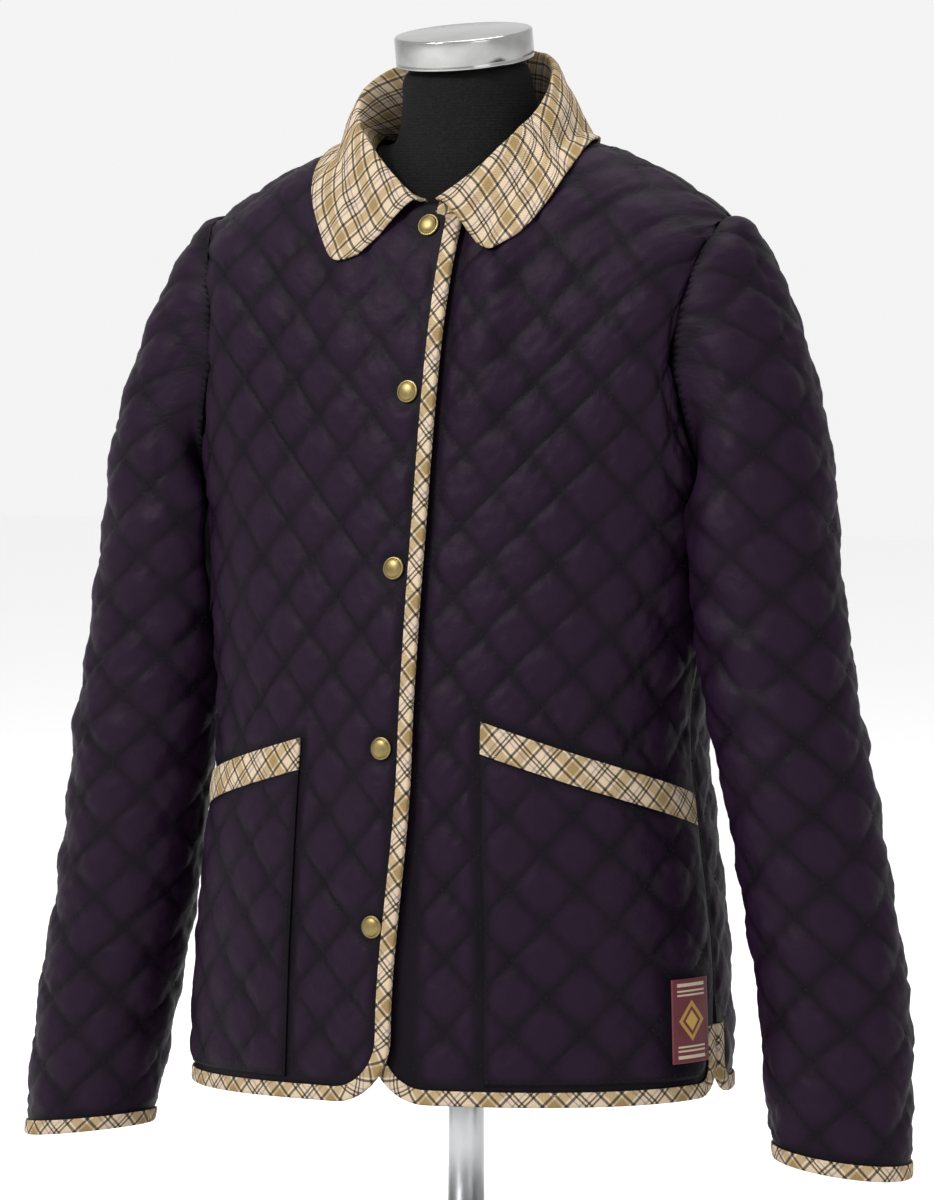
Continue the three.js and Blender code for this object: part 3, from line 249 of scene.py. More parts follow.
class Face:
    """The inner face of a piece of cloth, read off columns: p runs across it and q up it, in millimetres."""

    def __init__(self, columns, first_p, first_q, outward, step_p=1.0, step_q=2.0, shut=False):
        runs = [np.concatenate([[0], np.cumsum(np.linalg.norm(np.diff(c, axis=0), axis=1))])
                + first_q for c in columns]
        self.p0, self.q0, self.dp, self.dq, self.shut = first_p, first_q, step_p, step_q, shut
        self.top = np.array([r[-1] for r in runs])
        q = np.arange(first_q, self.top.max() + step_q, step_q)
        self.P = np.array([[np.interp(q, r, c[:, k]) for k in range(3)] for r,
                           c in zip(runs, columns)]).transpose(0, 2, 1)
        self.outward = outward

    def settle(self, reach_p=4, reach_q=1):
        """Finds the outward normals, from one side only beside an edge."""
        n, m = self.P.shape[:2]
        i = np.arange(n)[:, None] * np.ones((1, m), int)
        level = np.minimum(np.arange(m)[None, :],
                           np.floor((self.top - 3 - self.q0) / self.dq).astype(int)[:, None])
        level = np.clip(level, reach_q, m - 1 - reach_q)
        wide = max(int(round(reach_p / self.dp)), 1)
        if self.shut:
            a, b = (i + wide) % (n - 1), (i - wide) % (n - 1)
        else:
            a = b = i
            for _ in range(8):
                q = self.q0 + level * self.dq
                ia, ib = np.clip(i + wide, 0, n - 1), np.clip(i - wide, 0, n - 1)
                a, b = np.where(self.top[ia] > q + 1, ia, i), np.where(self.top[ib] > q + 1, ib, i)
                level = np.where(a == b, np.maximum(level - int(6 / self.dq), reach_q), level)
        across = self.P[a, level] - self.P[b, level]
        up = self.P[i, level + reach_q] - self.P[i, level - reach_q]
        self.N = unit(np.cross(across, up) * self.outward)
        return self

    def even_out(self, low, high, reach=20):
        """Evens the face out across its columns above a height, away from its edges."""
        n, m = self.P.shape[:2]
        q = self.q0 + np.arange(m) * self.dq
        steps = np.arange(-reach, reach + 1)
        near = np.clip(np.arange(n)[:, None] + steps[None, :], 0, n - 1)
        share = np.exp(-(steps / (0.45 * reach)) ** 2)
        share = share / share.sum()
        lowest = self.top[near].min(1)
        to_side = np.minimum(np.arange(n), n - 1 - np.arange(n))
        weight = smooth(q, low, high)[None, :] * smooth(lowest[:, None] - q[None, :], 2, 26) * smooth(to_side,
                2, reach)[:, None]
        evened = sum(self.P[near[:, k]] * share[k] for k in range(len(steps)))
        self.P = mix(self.P, evened, weight[..., None])
        return self

    def read(self, table, p, q):
        n, m = table.shape[:2]
        x = np.clip((np.asarray(p, float) - self.p0) / self.dp, 0, n - 1.0001)
        y = np.clip((np.asarray(q, float) - self.q0) / self.dq, 0, m - 1.0001)
        i, j = x.astype(int), y.astype(int)
        u, v = (x - i)[..., None], (y - j)[..., None]
        return mix(mix(table[i, j], table[i + 1, j], u), mix(table[i, j + 1], table[i + 1, j + 1], u), v)

    def off(self, p, q, height=0.0):
        return self.read(self.P, p, q) + unit(self.read(self.N, p, q)) * np.asarray(height, float)[..., None]

    def seam(self, p, q, height):
        """Places at a height over the face, and the directions out of it there."""
        return self.off(p, q, height), unit(self.read(self.N, p, q))

    def top_at(self, p):
        return np.interp(p, self.p0 + np.arange(len(self.top)) * self.dp, self.top)


def body_face(side, mirror, lift, first_p):
    ps = np.arange(first_p, QUARTER + 0.5, 1.0)
    tip = body_column(SHOULDER_SHARE, side)
    face = Face([body_column(p / QUARTER, side, tip) for p in ps], first_p, -20.0, -side)
    face.even_out(300, 420)
    if lift:
        face.settle()
        face.P = face.P + face.N * (lift * (1 - smooth(ps, -4, 62)))[:, None, None]
    face.P = face.P * [mirror, 1, 1]
    face.outward = -side * mirror
    q = face.q0 + np.arange(face.P.shape[1]) * face.dq
    face.P[..., 2] += HEM_TILT * face.P[..., 0] * (1 - smooth(q, 0, 480))
    return face.settle()


right_face = body_face(-1, -1, LAP_LIFT, -30)
left_face = body_face(-1, 1, 0, -30)
back_face = body_face(1, 1, 0, 0)
half_P, half_N, half_top = back_face.P, back_face.N, back_face.top
back_mirror = body_face(1, -1, 0, 0)
back_face.P = np.concatenate([back_mirror.P[:0:-1], half_P])
back_face.N = np.concatenate([back_mirror.N[:0:-1], half_N])
back_face.top = np.concatenate([half_top[:0:-1], half_top])
back_face.p0 = -(len(half_top) - 1) * 1.0


def quilt(p, q):
    wave = lambda v: np.abs(np.sin(np.pi * v / (2 * CELL)))
    return (wave(p + q) * wave(p - q)) ** 0.62


def crumple(p, q, seed):
    """Small uneven wrinkles of the cloth between its stitched lines."""
    rng = np.random.default_rng(seed)
    total = 0.0
    for length, high in ((46, 0.55), (33, 0.5), (21, 0.4), (15, 0.34), (11, 0.28), (8.5, 0.22), (6.5, 0.17)):
        for _ in range(2):
            a, phase = rng.uniform(-1.1, 1.1) + math.pi / 2, rng.uniform(0, 6.28)
            bend = rng.uniform(20, 60)
            total = total + high * np.sin(2 * np.pi / length * (p * math.cos(a) + q * math.sin(a)) + phase
                                          + 0.8 * np.sin(q / bend + p / 37 + phase))
    return total / 3


def front_edge(q):
    return -LAP + LAP_AWAY * (1 - smooth(q, 50, 230))


def side_edge(q):
    return QUARTER - SEAM / 2 - VENT_INSET * (1 - smooth(q, VENT_HEIGHT, VENT_HEIGHT + CELL))


def draw_back(radius, d):
    d = np.maximum(d, 0)
    return np.where(d >= radius, 0,
                    radius - np.sqrt(np.maximum(radius**2 - (radius - np.minimum(d, radius)) ** 2, 0)))


def closed_wall(name, inner, outer, uv, puff=None, shut=False):
    """A thin wall of cloth between two grids of points in millimetres, closed round its rim."""
    rows, cols = inner.shape[:2]
    count = rows * cols
    at = np.arange(count).reshape(rows, cols)
    if shut:
        at = np.concatenate([at[:, :-1], at[:, :1]], axis=1)
    a, b, c, d = at[:-1, :-1], at[:-1, 1:], at[1:, 1:], at[1:, :-1]
    sheet_in = np.stack([a, d, c, b], -1).reshape(-1, 4)
    sheet_out = np.stack([a, b, c, d], -1).reshape(-1, 4) + count
    rims = [np.stack([at[0, :-1], at[0, 1:], at[0, 1:] + count, at[0, :-1] + count], -1),
            np.stack([at[-1, 1:], at[-1, :-1], at[-1, :-1] + count, at[-1, 1:] + count], -1)]
    if not shut:
        rims += [np.stack([at[1:, 0], at[:-1, 0], at[:-1, 0] + count, at[1:, 0] + count], -1),
                 np.stack([at[:-1, -1], at[1:, -1], at[1:, -1] + count, at[:-1, -1] + count], -1)]
    quads = np.concatenate([sheet_in, sheet_out] + rims)
    mesh = bpy.data.meshes.new(name)
    mesh.vertices.add(2 * count)
    mesh.vertices.foreach_set("co",
                              (np.concatenate([inner.reshape(-1, 3), outer.reshape(-1, 3)]) * MM).ravel())
    mesh.loops.add(quads.size)
    mesh.loops.foreach_set("vertex_index", quads.ravel().astype(np.int32))
    mesh.polygons.add(len(quads))
    mesh.polygons.foreach_set("loop_start", np.arange(0, quads.size, 4, dtype=np.int32))
    layer = mesh.uv_layers.new(name="cloth")
    flat = np.concatenate([uv.reshape(-1, 2), uv.reshape(-1, 2)]) * MM
    places = flat[quads]
    if shut:
        seam = np.abs(np.diff(places[:, :, 0], axis=1)).max(axis=1) > 0.05
        fixed = places[seam]
        fixed[..., 0] = np.where(fixed[..., 0] < 0, fixed[..., 0] + (uv[0, -1, 0] - uv[0, 0, 0]) * MM,
                                 fixed[..., 0])
        places[seam] = fixed
    layer.data.foreach_set("uv", places.ravel())
    # The puff level is stored for the satin, which paints shade into the stitched grooves from it.
    if puff is not None:
        raised = mesh.attributes.new("puff", "FLOAT", "POINT")
        raised.data.foreach_set("value", np.concatenate([np.zeros(count), puff.ravel()]))
    mesh.update()
    mesh.validate()
    work = bmesh.new()
    work.from_mesh(mesh)
    bmesh.ops.remove_doubles(work, verts=work.verts, dist=0.00002)
    loose = [v for v in work.verts if not v.link_faces]
    bmesh.ops.delete(work, geom=loose, context="VERTS")
    if work.calc_volume(signed=True) < 0:
        bmesh.ops.reverse_faces(work, faces=work.faces)
    work.to_mesh(mesh)
    work.free()
    shade_smooth(mesh)
    return placed(name, mesh)


def calc(tree, operation, *values):
    return node(tree, "ShaderNodeMath", dict(enumerate(values)), operation=operation)


def scaled(tree, vector, factor):
    return node(tree, "ShaderNodeVectorMath", {0: vector, "Scale": factor}, operation="SCALE")


def ranged(tree, value, low, high, lowest=0, highest=1):
    """Carries a value from one range to another."""
    return node(tree, "ShaderNodeMapRange", {"Value": value, "From Min": lowest, "From Max": highest,
                                             "To Min": low, "To Max": high})


def ramp(tree, fac, stops, interpolation="LINEAR"):
    """Colours along a factor, from pairs of a place and a colour."""
    made = node(tree, "ShaderNodeValToRGB", Fac=fac)
    made.color_ramp.interpolation = interpolation
    while len(made.color_ramp.elements) < len(stops):
        made.color_ramp.elements.new(0.5)
    for stop, (place, colour) in zip(made.color_ramp.elements, stops):
        stop.position, stop.color = place, (*colour, 1)
    return made


def noise(tree, vector, **values):
    return node(tree, "ShaderNodeTexNoise", Vector=vector, **values)


def bump(tree, height, strength, distance, **values):
    return node(tree, "ShaderNodeBump", Height=height, Strength=strength, Distance=distance, **values)


def object_places(tree):
    return node(tree, "ShaderNodeTexCoord").outputs["Object"]


# Satin: aubergine polyester, with painted shade darkening the stitched grooves, a fine weave and faint
# creases.
# The mesh carries how far each place is puffed up; the colour is painted lighter there and darker in the
# grooves, over a random tone.
satin, tree, shader = material("aubergine satin", {"Specular IOR Level": 0.075})
cloth_uv = node(tree, "ShaderNodeUVMap", uv_map="cloth")
puff = node(tree, "ShaderNodeAttribute", attribute_name="puff").outputs["Fac"]
# Painted shade: the puff level, plus a random tone, darkens the satin's colour in the stitched grooves.
groove_shade_and_tone = calc(tree, "MULTIPLY_ADD", noise(tree, cloth_uv, Scale=14.0, Detail=3.0), 0.7, puff)
crease = noise(tree, cloth_uv, Scale=190.0, Detail=5.0, Roughness=0.62, Distortion=0.6)
weave = noise(tree, cloth_uv, Scale=1400.0, Detail=2.0)
fill(shader, {"Base Color": ramp(tree, groove_shade_and_tone,
                                 [(0.25, (0.0014, 0.0005, 0.0020)), (1.0, (0.0090, 0.0032, 0.0110))]),
              "Roughness": ranged(tree, crease, 0.43, 0.6),
              "Normal": bump(tree, weave, 0.35, 0.0002, Normal=bump(tree, crease, 0.45, 0.0012))})


def geometry_tree(name, *inputs):
    """A Geometry Nodes tree with a geometry in and out and these inputs, each a label, a kind and a value."""
    tree = bpy.data.node_groups.new(name, "GeometryNodeTree")
    for label, kind, value in (("Geometry", "Geometry", None), *inputs):
        socket = tree.interface.new_socket(label, in_out="INPUT", socket_type="NodeSocket" + kind)
        if value is not None:
            socket.default_value = value
    tree.interface.new_socket("Geometry", in_out="OUTPUT", socket_type="NodeSocketGeometry")
    return tree, node(tree, "NodeGroupInput").outputs, node(tree, "NodeGroupOutput")


def direction_out(tree):
    """The direction that the mesh stores at each place."""
    return node(tree, "GeometryNodeInputNamedAttribute", data_type="FLOAT_VECTOR", Name="out")


def grown(name, tree, places, outs, edges, settings):
    """Runs a Geometry Nodes tree on places in millimetres with their directions out, and keeps its mesh."""
    drawn = bpy.data.meshes.new(name + " places")
    drawn.from_pydata(places * MM, edges, [])
    drawn.attributes.new("out", "FLOAT_VECTOR", "POINT").data.foreach_set("vector", outs.ravel())
    carrier = placed(name + " places", drawn)
    grow = carrier.modifiers.new("grow", "NODES")
    grow.node_group = tree
    for item in tree.interface.items_tree:
        if item.in_out == "INPUT" and item.name in settings:
            grow[item.identifier] = settings[item.name]
    seen = carrier.evaluated_get(bpy.context.evaluated_depsgraph_get())
    made = placed(name, bpy.data.meshes.new_from_object(seen))
    bpy.data.objects.remove(carrier)
    return made


# Stitching: lock stitch of dark thread, 11 stitches to 50 mm, along every quilted diagonal.
# A Geometry Nodes tree lays one small stitch at each step of a drawn line.
def stitch_tree():
    tree, given, result = geometry_tree("lock stitch", ("Stitch length", "Float", 0.0031),
                                        ("Step", "Float", 0.0046),
                                        ("Thread radius", "Float", 0.00028), ("Thread", "Material", None))
    curve = node(tree, "GeometryNodeMeshToCurve", Mesh=given["Geometry"])
    spaced = node(tree, "GeometryNodeResampleCurve", mode="LENGTH", Curve=curve, Length=given["Step"])
    tangent = node(tree, "GeometryNodeInputTangent")
    lie = node(tree, "FunctionNodeAlignRotationToVector", axis="X", Vector=tangent)
    roll = node(tree, "FunctionNodeAlignRotationToVector", axis="Z", pivot_axis="X", Rotation=lie,
                Vector=direction_out(tree))
    bead = node(tree, "GeometryNodeMeshIcoSphere", Radius=1.0, Subdivisions=1)
    half, radius = calc(tree, "MULTIPLY", given["Stitch length"], 0.5), given["Thread radius"]
    shape = node(tree, "ShaderNodeCombineXYZ", X=half, Y=radius, Z=radius)
    laid = node(tree, "GeometryNodeInstanceOnPoints", Points=spaced, Instance=bead, Rotation=roll,
                Scale=shape)
    real = node(tree, "GeometryNodeRealizeInstances", Geometry=laid)
    soft = node(tree, "GeometryNodeSetShadeSmooth", Geometry=real)
    fill(result, {"Geometry": node(tree, "GeometryNodeSetMaterial", Geometry=soft, Material=given["Thread"])})
    return tree


def thread_material(name, dark, light):
    made, tree, shader = material(name, {"Roughness": 0.7, "Specular IOR Level": 0.15})
    twist = noise(tree, object_places(tree), Scale=900.0)
    fill(shader, {"Base Color": ramp(tree, twist, [(0, dark), (1, light)])})
    return made


lock_stitch = stitch_tree()
dark_thread = thread_material("dark thread", (0.002, 0.0015, 0.0035), (0.012, 0.008, 0.016))
tan_thread = thread_material("tan thread", (0.20, 0.14, 0.06), (0.40, 0.30, 0.15))
STITCH_LIFT = 0.12


def sewn(name, lines, thread, **settings):
    """Sews along lines, each a pair of arrays: places in millimetres and directions out."""
    lines = [line for line in lines if len(line[0]) > 1]
    edges, start = [], 0
    for place, _ in lines:
        edges += [(start + i, start + i + 1) for i in range(len(place) - 1)]
        start += len(place)
    settings = {key.replace("_", " "): value for key, value in settings.items()}
    return grown(name, lock_stitch, np.concatenate([place for place, _ in lines]),
                 np.concatenate([out for _, out in lines]), edges, {"Thread": thread, **settings})


def quilting_lines(face, low_p, high_p, height, keep, counts=range(-30, 45), swell=None):
    """The stitched diagonals of a face, cut where keep says no, lifted further where the cloth swells."""
    lines = []
    for way in (1, -1):
        for k in counts:
            p = np.arange(low_p, high_p, 3.0)
            q = way * (2 * CELL * k - p)
            good = (q > 0) & (q < face.top_at(p)) & keep(p, q)
            for run in np.split(np.arange(len(p)), np.flatnonzero(np.diff(good.astype(int))) + 1):
                if len(run) > 2 and good[run[0]]:
                    a, b = p[run], q[run]
                    lines.append(face.seam(a, b, height + (swell(a, b) if swell else 0)))
    return lines


# Fronts and back: quilted cloth, the right front lapped over the left one and lifted by it.
# Their relief is a puffed diamond between stitched lines; it lies flat under collar, pockets and bindings.
BIND_WIDE = 8.5
POCKET_IN, POCKET_OUT, POCKET_FOOT, BAND = 75.0, 246.0, 12.5, 21.0
POCKET_TOP = {"left": (249.0, 198.0), "right": (235.0, 195.0)}
SNAPS = [(4.8, 114), (0.5, 230), (-1.5, 347), (-1.5, 463), (-1.5, 574)]


def band_top(p, side):
    inner, outer = POCKET_TOP[side]
    return mix(inner, outer, (p - POCKET_IN) / (POCKET_OUT - POCKET_IN))


def foot_at(p, is_front):
    """Height of the hem's edge, with its rounded corners."""
    vent = draw_back(VENT_CORNER, side_edge(0.0) - np.abs(p))
    return vent + draw_back(FRONT_CORNER, p - front_edge(0.0)) if is_front else vent


def panel_grid(face, is_front):
    step = 2.5 if is_front else 3.0
    if is_front:
        cols = np.concatenate([-LAP + 45 * np.linspace(0, 1, 28)[:-1] ** 1.5, np.arange(CELL, 176, step),
                               np.linspace(176.4, 235, 46)[:-1], 252 - 17 * np.linspace(1, 0, 18) ** 1.4])
    else:
        side = np.concatenate([np.arange(0, 176, step), np.linspace(176.4, 235, 34)[:-1],
                               252 - 17 * np.linspace(1, 0, 15) ** 1.4])
        cols = np.concatenate([-side[:0:-1], side])

    def across(high, q):
        low_edge = front_edge(q)
        p = np.where((high < CELL) & is_front, low_edge + (high + LAP) / (CELL + LAP) * (CELL - low_edge),
                     high)
        out = 235 + (np.abs(high) - 235) * (side_edge(q) - 235) / 17
        return np.where(np.abs(high) > 235, np.sign(high) * out, p)

    first = across(cols, 0.0 * cols)
    top = face.top_at(cols) - SEAM / 2 - (draw_back(TOP_CORNER, cols + LAP) if is_front else 0)
    rough = np.arange(0, top.max() + step, step)
    q = np.clip(rough[:, None], foot_at(first, is_front)[None, :], top[None, :])
    return across(cols[None, :] + 0 * q, q), q


def rim_fade(p, q, is_front):
    """0 under the binding, rising to 1 inside it."""
    fade = smooth(q - foot_at(p, is_front), BIND_WIDE + 1, BIND_WIDE + 10)
    if is_front:
        fade = fade * smooth(p - front_edge(q), BIND_WIDE + 1, BIND_WIDE + 9)
    vent = smooth(side_edge(q) - np.abs(p), BIND_WIDE, BIND_WIDE + 8)
    return fade * mix(vent, 1, smooth(q, VENT_HEIGHT, VENT_HEIGHT + 12))


def under_collar(place):
    return smooth(place[..., 2], 684, 702) * (1 - smooth(np.hypot(place[..., 0], place[..., 1]), 84, 98))


def puckers(p, q, seed):
    """Short wrinkles that the stitches draw in across each quilted diagonal."""
    total = 0.0
    for way in (1, -1):
        across, run = p + way * q, p - way * q
        line = np.round(across / (2 * CELL))
        off = (across - line * 2 * CELL) / math.sqrt(2)
        bend = 9 * np.sin(line * 2.3 + seed) + 5 * np.sin(run / 31 + line + seed)
        size = 0.6 + 0.4 * np.sin(run / 17 + 2.1 * line + seed)
        total = total + size * np.sin(2 * np.pi * (run + bend + 0.35 * off)
                                      / 17) * np.abs(off) / 4 * np.exp(1 - np.abs(off) / 4)
    return 0.34 * total


def puffed(p, q, seed):
    level = quilt(p, q)
    return level, PUFF * level + crumple(p, q, seed) * np.minimum(level * 1.6, 1) + puckers(p, q, seed)


def panel(name, face, is_front, side, seed):
    p, q = panel_grid(face, is_front)
    place = face.off(p, q)
    level, high = puffed(p, q, seed)
    fade = rim_fade(p, q, is_front) * smooth(face.top_at(p) - q, 0, 12)
    fade = fade * smooth(side_edge(q) - np.abs(p), 0, 7) * (1 - 0.5 * under_collar(place))
    if is_front:
        fade = fade * (1 - smooth(p, 63, 72) * (1 - smooth(q - band_top(p, side), 2, 12)))
        if side == "left":
            fade = fade * smooth(p, LAP + 2, LAP + 14)
        else:
            for sp, sq in SNAPS:
                fade = fade * smooth(np.hypot(p - sp, q - sq), 8.5, 17)
    made = closed_wall(name, place, face.off(p, q, CLOTH + high * fade), np.stack([p, q], -1), level * fade)
    return made, (p, q)


right_front, right_grid = panel("right_front_cloth", right_face, True, "right", 11)
left_front, left_grid = panel("left_front_cloth", left_face, True, "left", 23)
back_cloth, back_grid = panel("back_cloth", back_face, False, "", 37)


def in_view(face, side):
    """Where a front, or the back if side is empty, shows its quilting."""
    def keep(p, q):
        shown = (rim_fade(p, q, bool(side)) > 0.02) & (under_collar(face.read(face.P, p, q)) < 0.5)
        if side:
            off_pocket = (p < POCKET_IN - 1) | (q > band_top(p, side) + 1)
            shown = shown & off_pocket & (p > (LAP + 2 if side == "left" else -40))
        return shown
    return keep


for piece, face, side, cad, low, flat, area in (
        (right_front, right_face, "right", "right_front", -20, (0.275, 0.62), 0.150),
        (left_front, left_face, "left", "left_front", -20, (0.275, 0.62), 0.150),
        (back_cloth, back_face, "", "back", -251, (0.506, 0.62), 0.280)):
    diagonals = quilting_lines(face, low, 251, CLOTH + STITCH_LIFT, in_view(face, side))
    quilting = dress(sewn(cad + "_quilting", diagonals, dark_thread), "quilted")
    dress(piece, "quilted", cad, cloth=satin)

# Sleeves: quilted like the body, set in round the armholes and hanging free, with soft bends at the elbows.
# The wearer's left sleeve swings out a little further and reaches lower than the right one.
SLEEVE = np.array([  # height, centre across and in depth, half width and depth, the left one's swing
    (82, 281, -29, 43, 36, 2), (140, 272, -26, 46, 39, 6), (193, 262, -24, 47, 40, 12),
    (241, 252, -24, 47, 40, 13),
    (311, 241, -26, 47, 41, 12), (376, 231, -25, 48, 42, 7), (455, 220, -20, 48, 44, 3),
    (500, 214, -14, 50, 48, 0)], float)
SLEEVE_ROUND = 12 * CELL


def sleeve_face(mirror):
    def body_half(y, z):
        front, back = along(BODY, 2, z), along(BODY, 3, z)
        out = np.abs(y - (back - front) / 2) / ((front + back) / 2)
        return np.where(out >= 1, 0,
                        along(BODY, 1, z) * np.maximum(1 - np.minimum(out, 1) ** 2.35, 0) ** (1 / 2.35))

    def ring(z, angle):
        cx = along(SLEEVE, 1, z) + (along(SLEEVE, 5, z) if mirror > 0 else 0)
        x = cx + along(SLEEVE, 3, z) * math.cos(angle)
        y = along(SLEEVE, 2, z) - along(SLEEVE, 4, z) * math.sin(angle)
        drop = np.clip((z - 82) / 120, 0, 1)
        high = z + (1 - drop) * (0.14 * (cx - x) - (11 if mirror < 0 else 0))
        return np.stack([np.maximum(x, body_half(y, z) + 11), y, high], -1)

    columns = []
    for a in np.radians(np.arange(-180, 181, 2.0)):
        low = ring(np.linspace(70, 500, 45), a)
        frm, off, side = ring(np.array([500.0]), a)[0], abs(a), -1 if a > 0 else 1
        turned = float(smooth(off, math.radians(50), math.radians(150)))
        radial = np.array([0, side * math.sin(off), math.cos(off)])
        heading = unit(np.array([1.0, 0, 0]) - radial * 0.2 * turned)
        body = left_face if side < 0 else back_face
        share = QUARTER * (SHOULDER_SHARE + (1 - SHOULDER_SHARE) * off / math.pi)
        normal = unit(body.read(body.N, share, body.top_at(share)))
        apart = mix(0.9, CLOTH + 2.6, float(smooth(off, math.radians(30), math.radians(130))))
        end = armhole_point(off, side) + normal * apart + heading * 1.6
        leave, arrive = np.array([0, 0, mix(190, 16, turned)]), heading * -mix(72, 36, turned)
        columns.append(np.vstack([low, hermite(frm, leave, end, arrive, np.arange(1, 31) / 30)]))
    face = Face(columns, -SLEEVE_ROUND / 2, -12.0, -mirror, step_p=SLEEVE_ROUND / 180, shut=True)
    face.P = face.P * [mirror, 1, 1]
    face.settle(reach_p=3)
    return face


def elbow_folds(p, q, seed):
    """Long soft creases across the inner elbow, under the arm and above the cuff."""
    rng = np.random.default_rng(seed)
    total = 0.0
    for middle, tilt, high, wide, reach, around in (
            (300, 0.20, 2.6, 11, 60, 70), (270, -0.16, 2.2, 12, 70, 60), (335, 0.34, 1.9, 10, 60, 85),
            (236, 0.12, 1.6, 12, 55, -40),
            (420, 0.55, 2.4, 13, 60, 95), (455, 0.75, 2.2, 12, 55, 110), (400, -0.42, 1.8, 12, 60, -90),
            (180, -0.2, 1.3, 12, 60, 30),
            (95, 0.15, 1.2, 11, 60, -10), (130, -0.1, 1.0, 12, 70, 80)):
        middle, around = middle + rng.uniform(-12, 12), around + rng.uniform(-10, 10)
        d = (p - around + SLEEVE_ROUND / 2) % SLEEVE_ROUND - SLEEVE_ROUND / 2
        line = q - middle - tilt * d
        crest = np.exp(-(line / wide) ** 2) - 0.7 * np.exp(-((line - 1.9 * wide) / wide) ** 2)
        total = total + high * crest * np.exp(-(d / reach) ** 2)
    return total


sleeve_pieces, sleeve_faces = {}, {}
for mirror, hand in ((1, "left"), (-1, "right")):
    face = sleeve_face(mirror)

    def below_top(p, q):
        return face.top_at(p) - q

    def folds(p, q):
        clear = mix(1.0, 0.25, smooth(np.abs(p), SLEEVE_ROUND * 0.3, SLEEVE_ROUND * 0.42))
        return elbow_folds(p, q, 5 + mirror) * clear * smooth(below_top(p, q), 40, 110) * smooth(q, 14, 40)

    def off_cuff(q):
        return smooth(q, BIND_WIDE + 1, BIND_WIDE + 9)

    def clear_of_seams(p, q):
        inner_side = (np.abs(p) > SLEEVE_ROUND * 0.2) & (below_top(p, q) < 70)
        return (q > BIND_WIDE + 3) & (below_top(p, q) > 4) & ~inner_side

    cols = np.linspace(-SLEEVE_ROUND / 2, SLEEVE_ROUND / 2, 121)
    tops = face.top_at(cols)
    p, q = np.meshgrid(cols, np.arange(0, tops.max() + 2.5, 2.5))
    q = np.minimum(q, tops[None, :])
    level, high = puffed(p, q, 51 + mirror)
    high = high * mix(1, smooth(below_top(p, q), 64, 84), np.abs(p) > SLEEVE_ROUND * 0.2)
    fade = off_cuff(q) * smooth(below_top(p, q), 0, 12)
    inner = face.off(p, q, np.minimum(folds(p, q) * fade, 0) * 0.8)
    outer = face.off(p, q, CLOTH + (high + folds(p, q)) * fade)
    for grid in (inner, outer):
        grid[:, -1] = grid[:, 0]
    made = closed_wall(hand + "_sleeve_cloth", inner, outer, np.stack([p, q], -1), level * fade, shut=True)
    dress(made, "quilted", hand + "_sleeve", cloth=satin)
    diagonals = quilting_lines(face, -SLEEVE_ROUND / 2, SLEEVE_ROUND / 2 + 1, CLOTH + STITCH_LIFT,
                               clear_of_seams,
                               range(-14, 20), lambda a, b: folds(a, b) * off_cuff(b))
    sewing = dress(sewn(hand + "_sleeve_quilting", diagonals, dark_thread), "quilted")
    sleeve_pieces[hand], sleeve_faces[hand] = made, face

# Plaid cotton: cream twill, a broad tan stripe between charcoal lines, a lilac line and a charcoal pair.
# The same stripes run in the warp and in the weft, and darken each other where they cross.
CREAM = (0.47, 0.37, 0.255)
WHITE, TAN, CHARCOAL, LILAC = (1.0, 1.0, 1.0), (0.62, 0.56, 0.40), (0.05, 0.05, 0.07), (0.55, 0.55, 0.85)
REPEAT, RIB, HIDDEN_SHARE = 0.031, 0.0013, 0.62
STRIPES = [(0.0, WHITE), (0.04, CHARCOAL), (0.10, WHITE), (0.145, TAN), (0.355, WHITE), (0.40, CHARCOAL),
           (0.46, WHITE), (0.60, LILAC), (0.64, WHITE), (0.70, CHARCOAL), (0.74, WHITE), (0.785, CHARCOAL),
           (0.825, WHITE)]


def plaid_material(name, angle):
    made, tree, shader = material(name, {"Roughness": 0.85, "Specular IOR Level": 0.2})
    uv = node(tree, "ShaderNodeUVMap", uv_map="cloth")
    wobble = scaled(tree, noise(tree, uv, Scale=60.0, Detail=2.0).outputs["Color"], 0.0007)
    moved = node(tree, "ShaderNodeVectorMath", {0: uv, 1: wobble}, operation="ADD")
    laid = node(tree, "ShaderNodeMapping", Vector=moved, Rotation=(0, 0, math.radians(angle)))
    axes = node(tree, "ShaderNodeSeparateXYZ", Vector=laid).outputs
    diagonal = calc(tree, "ADD", axes["X"], axes["Y"])
    twill = calc(tree, "SINE", calc(tree, "MULTIPLY", diagonal, 2 * math.pi / RIB))
    dyed = CREAM
    for axis, low, high in (("X", HIDDEN_SHARE, 1.0), ("Y", 1.0, HIDDEN_SHARE)):
        part = calc(tree, "FRACT", calc(tree, "DIVIDE", axes[axis], REPEAT))
        stripe = ramp(tree, part, STRIPES, "CONSTANT")
        shown = node(tree, "ShaderNodeMix",
                     {0: ranged(tree, twill, low, high, -1), 6: (1, 1, 1, 1), 7: stripe},
                     data_type="RGBA")
        dyed = node(tree, "ShaderNodeVectorMath", {0: dyed, 1: shown.outputs[2]}, operation="MULTIPLY")
    woven = scaled(tree, dyed, ranged(tree, twill, 0.86, 1.1, -1))
    soiled = scaled(tree, woven, ranged(tree, noise(tree, uv, Scale=22.0, Detail=3.0), 0.86, 1.1))
    fill(shader, {"Base Color": soiled, "Normal": bump(tree, twill, 0.5, 0.0003)})
    return made


plaid_straight = plaid_material("plaid cotton", 0)
plaid_bias = plaid_material("plaid cotton on the bias", 45)

# Bindings: bias strips of the plaid folded over the fronts' edges, the hem, the vents and the cuffs.
# Each wraps both faces of the cloth and is held by one line of stitches.
BIND_GAP, BIND_PLY = 0.55, 0.9


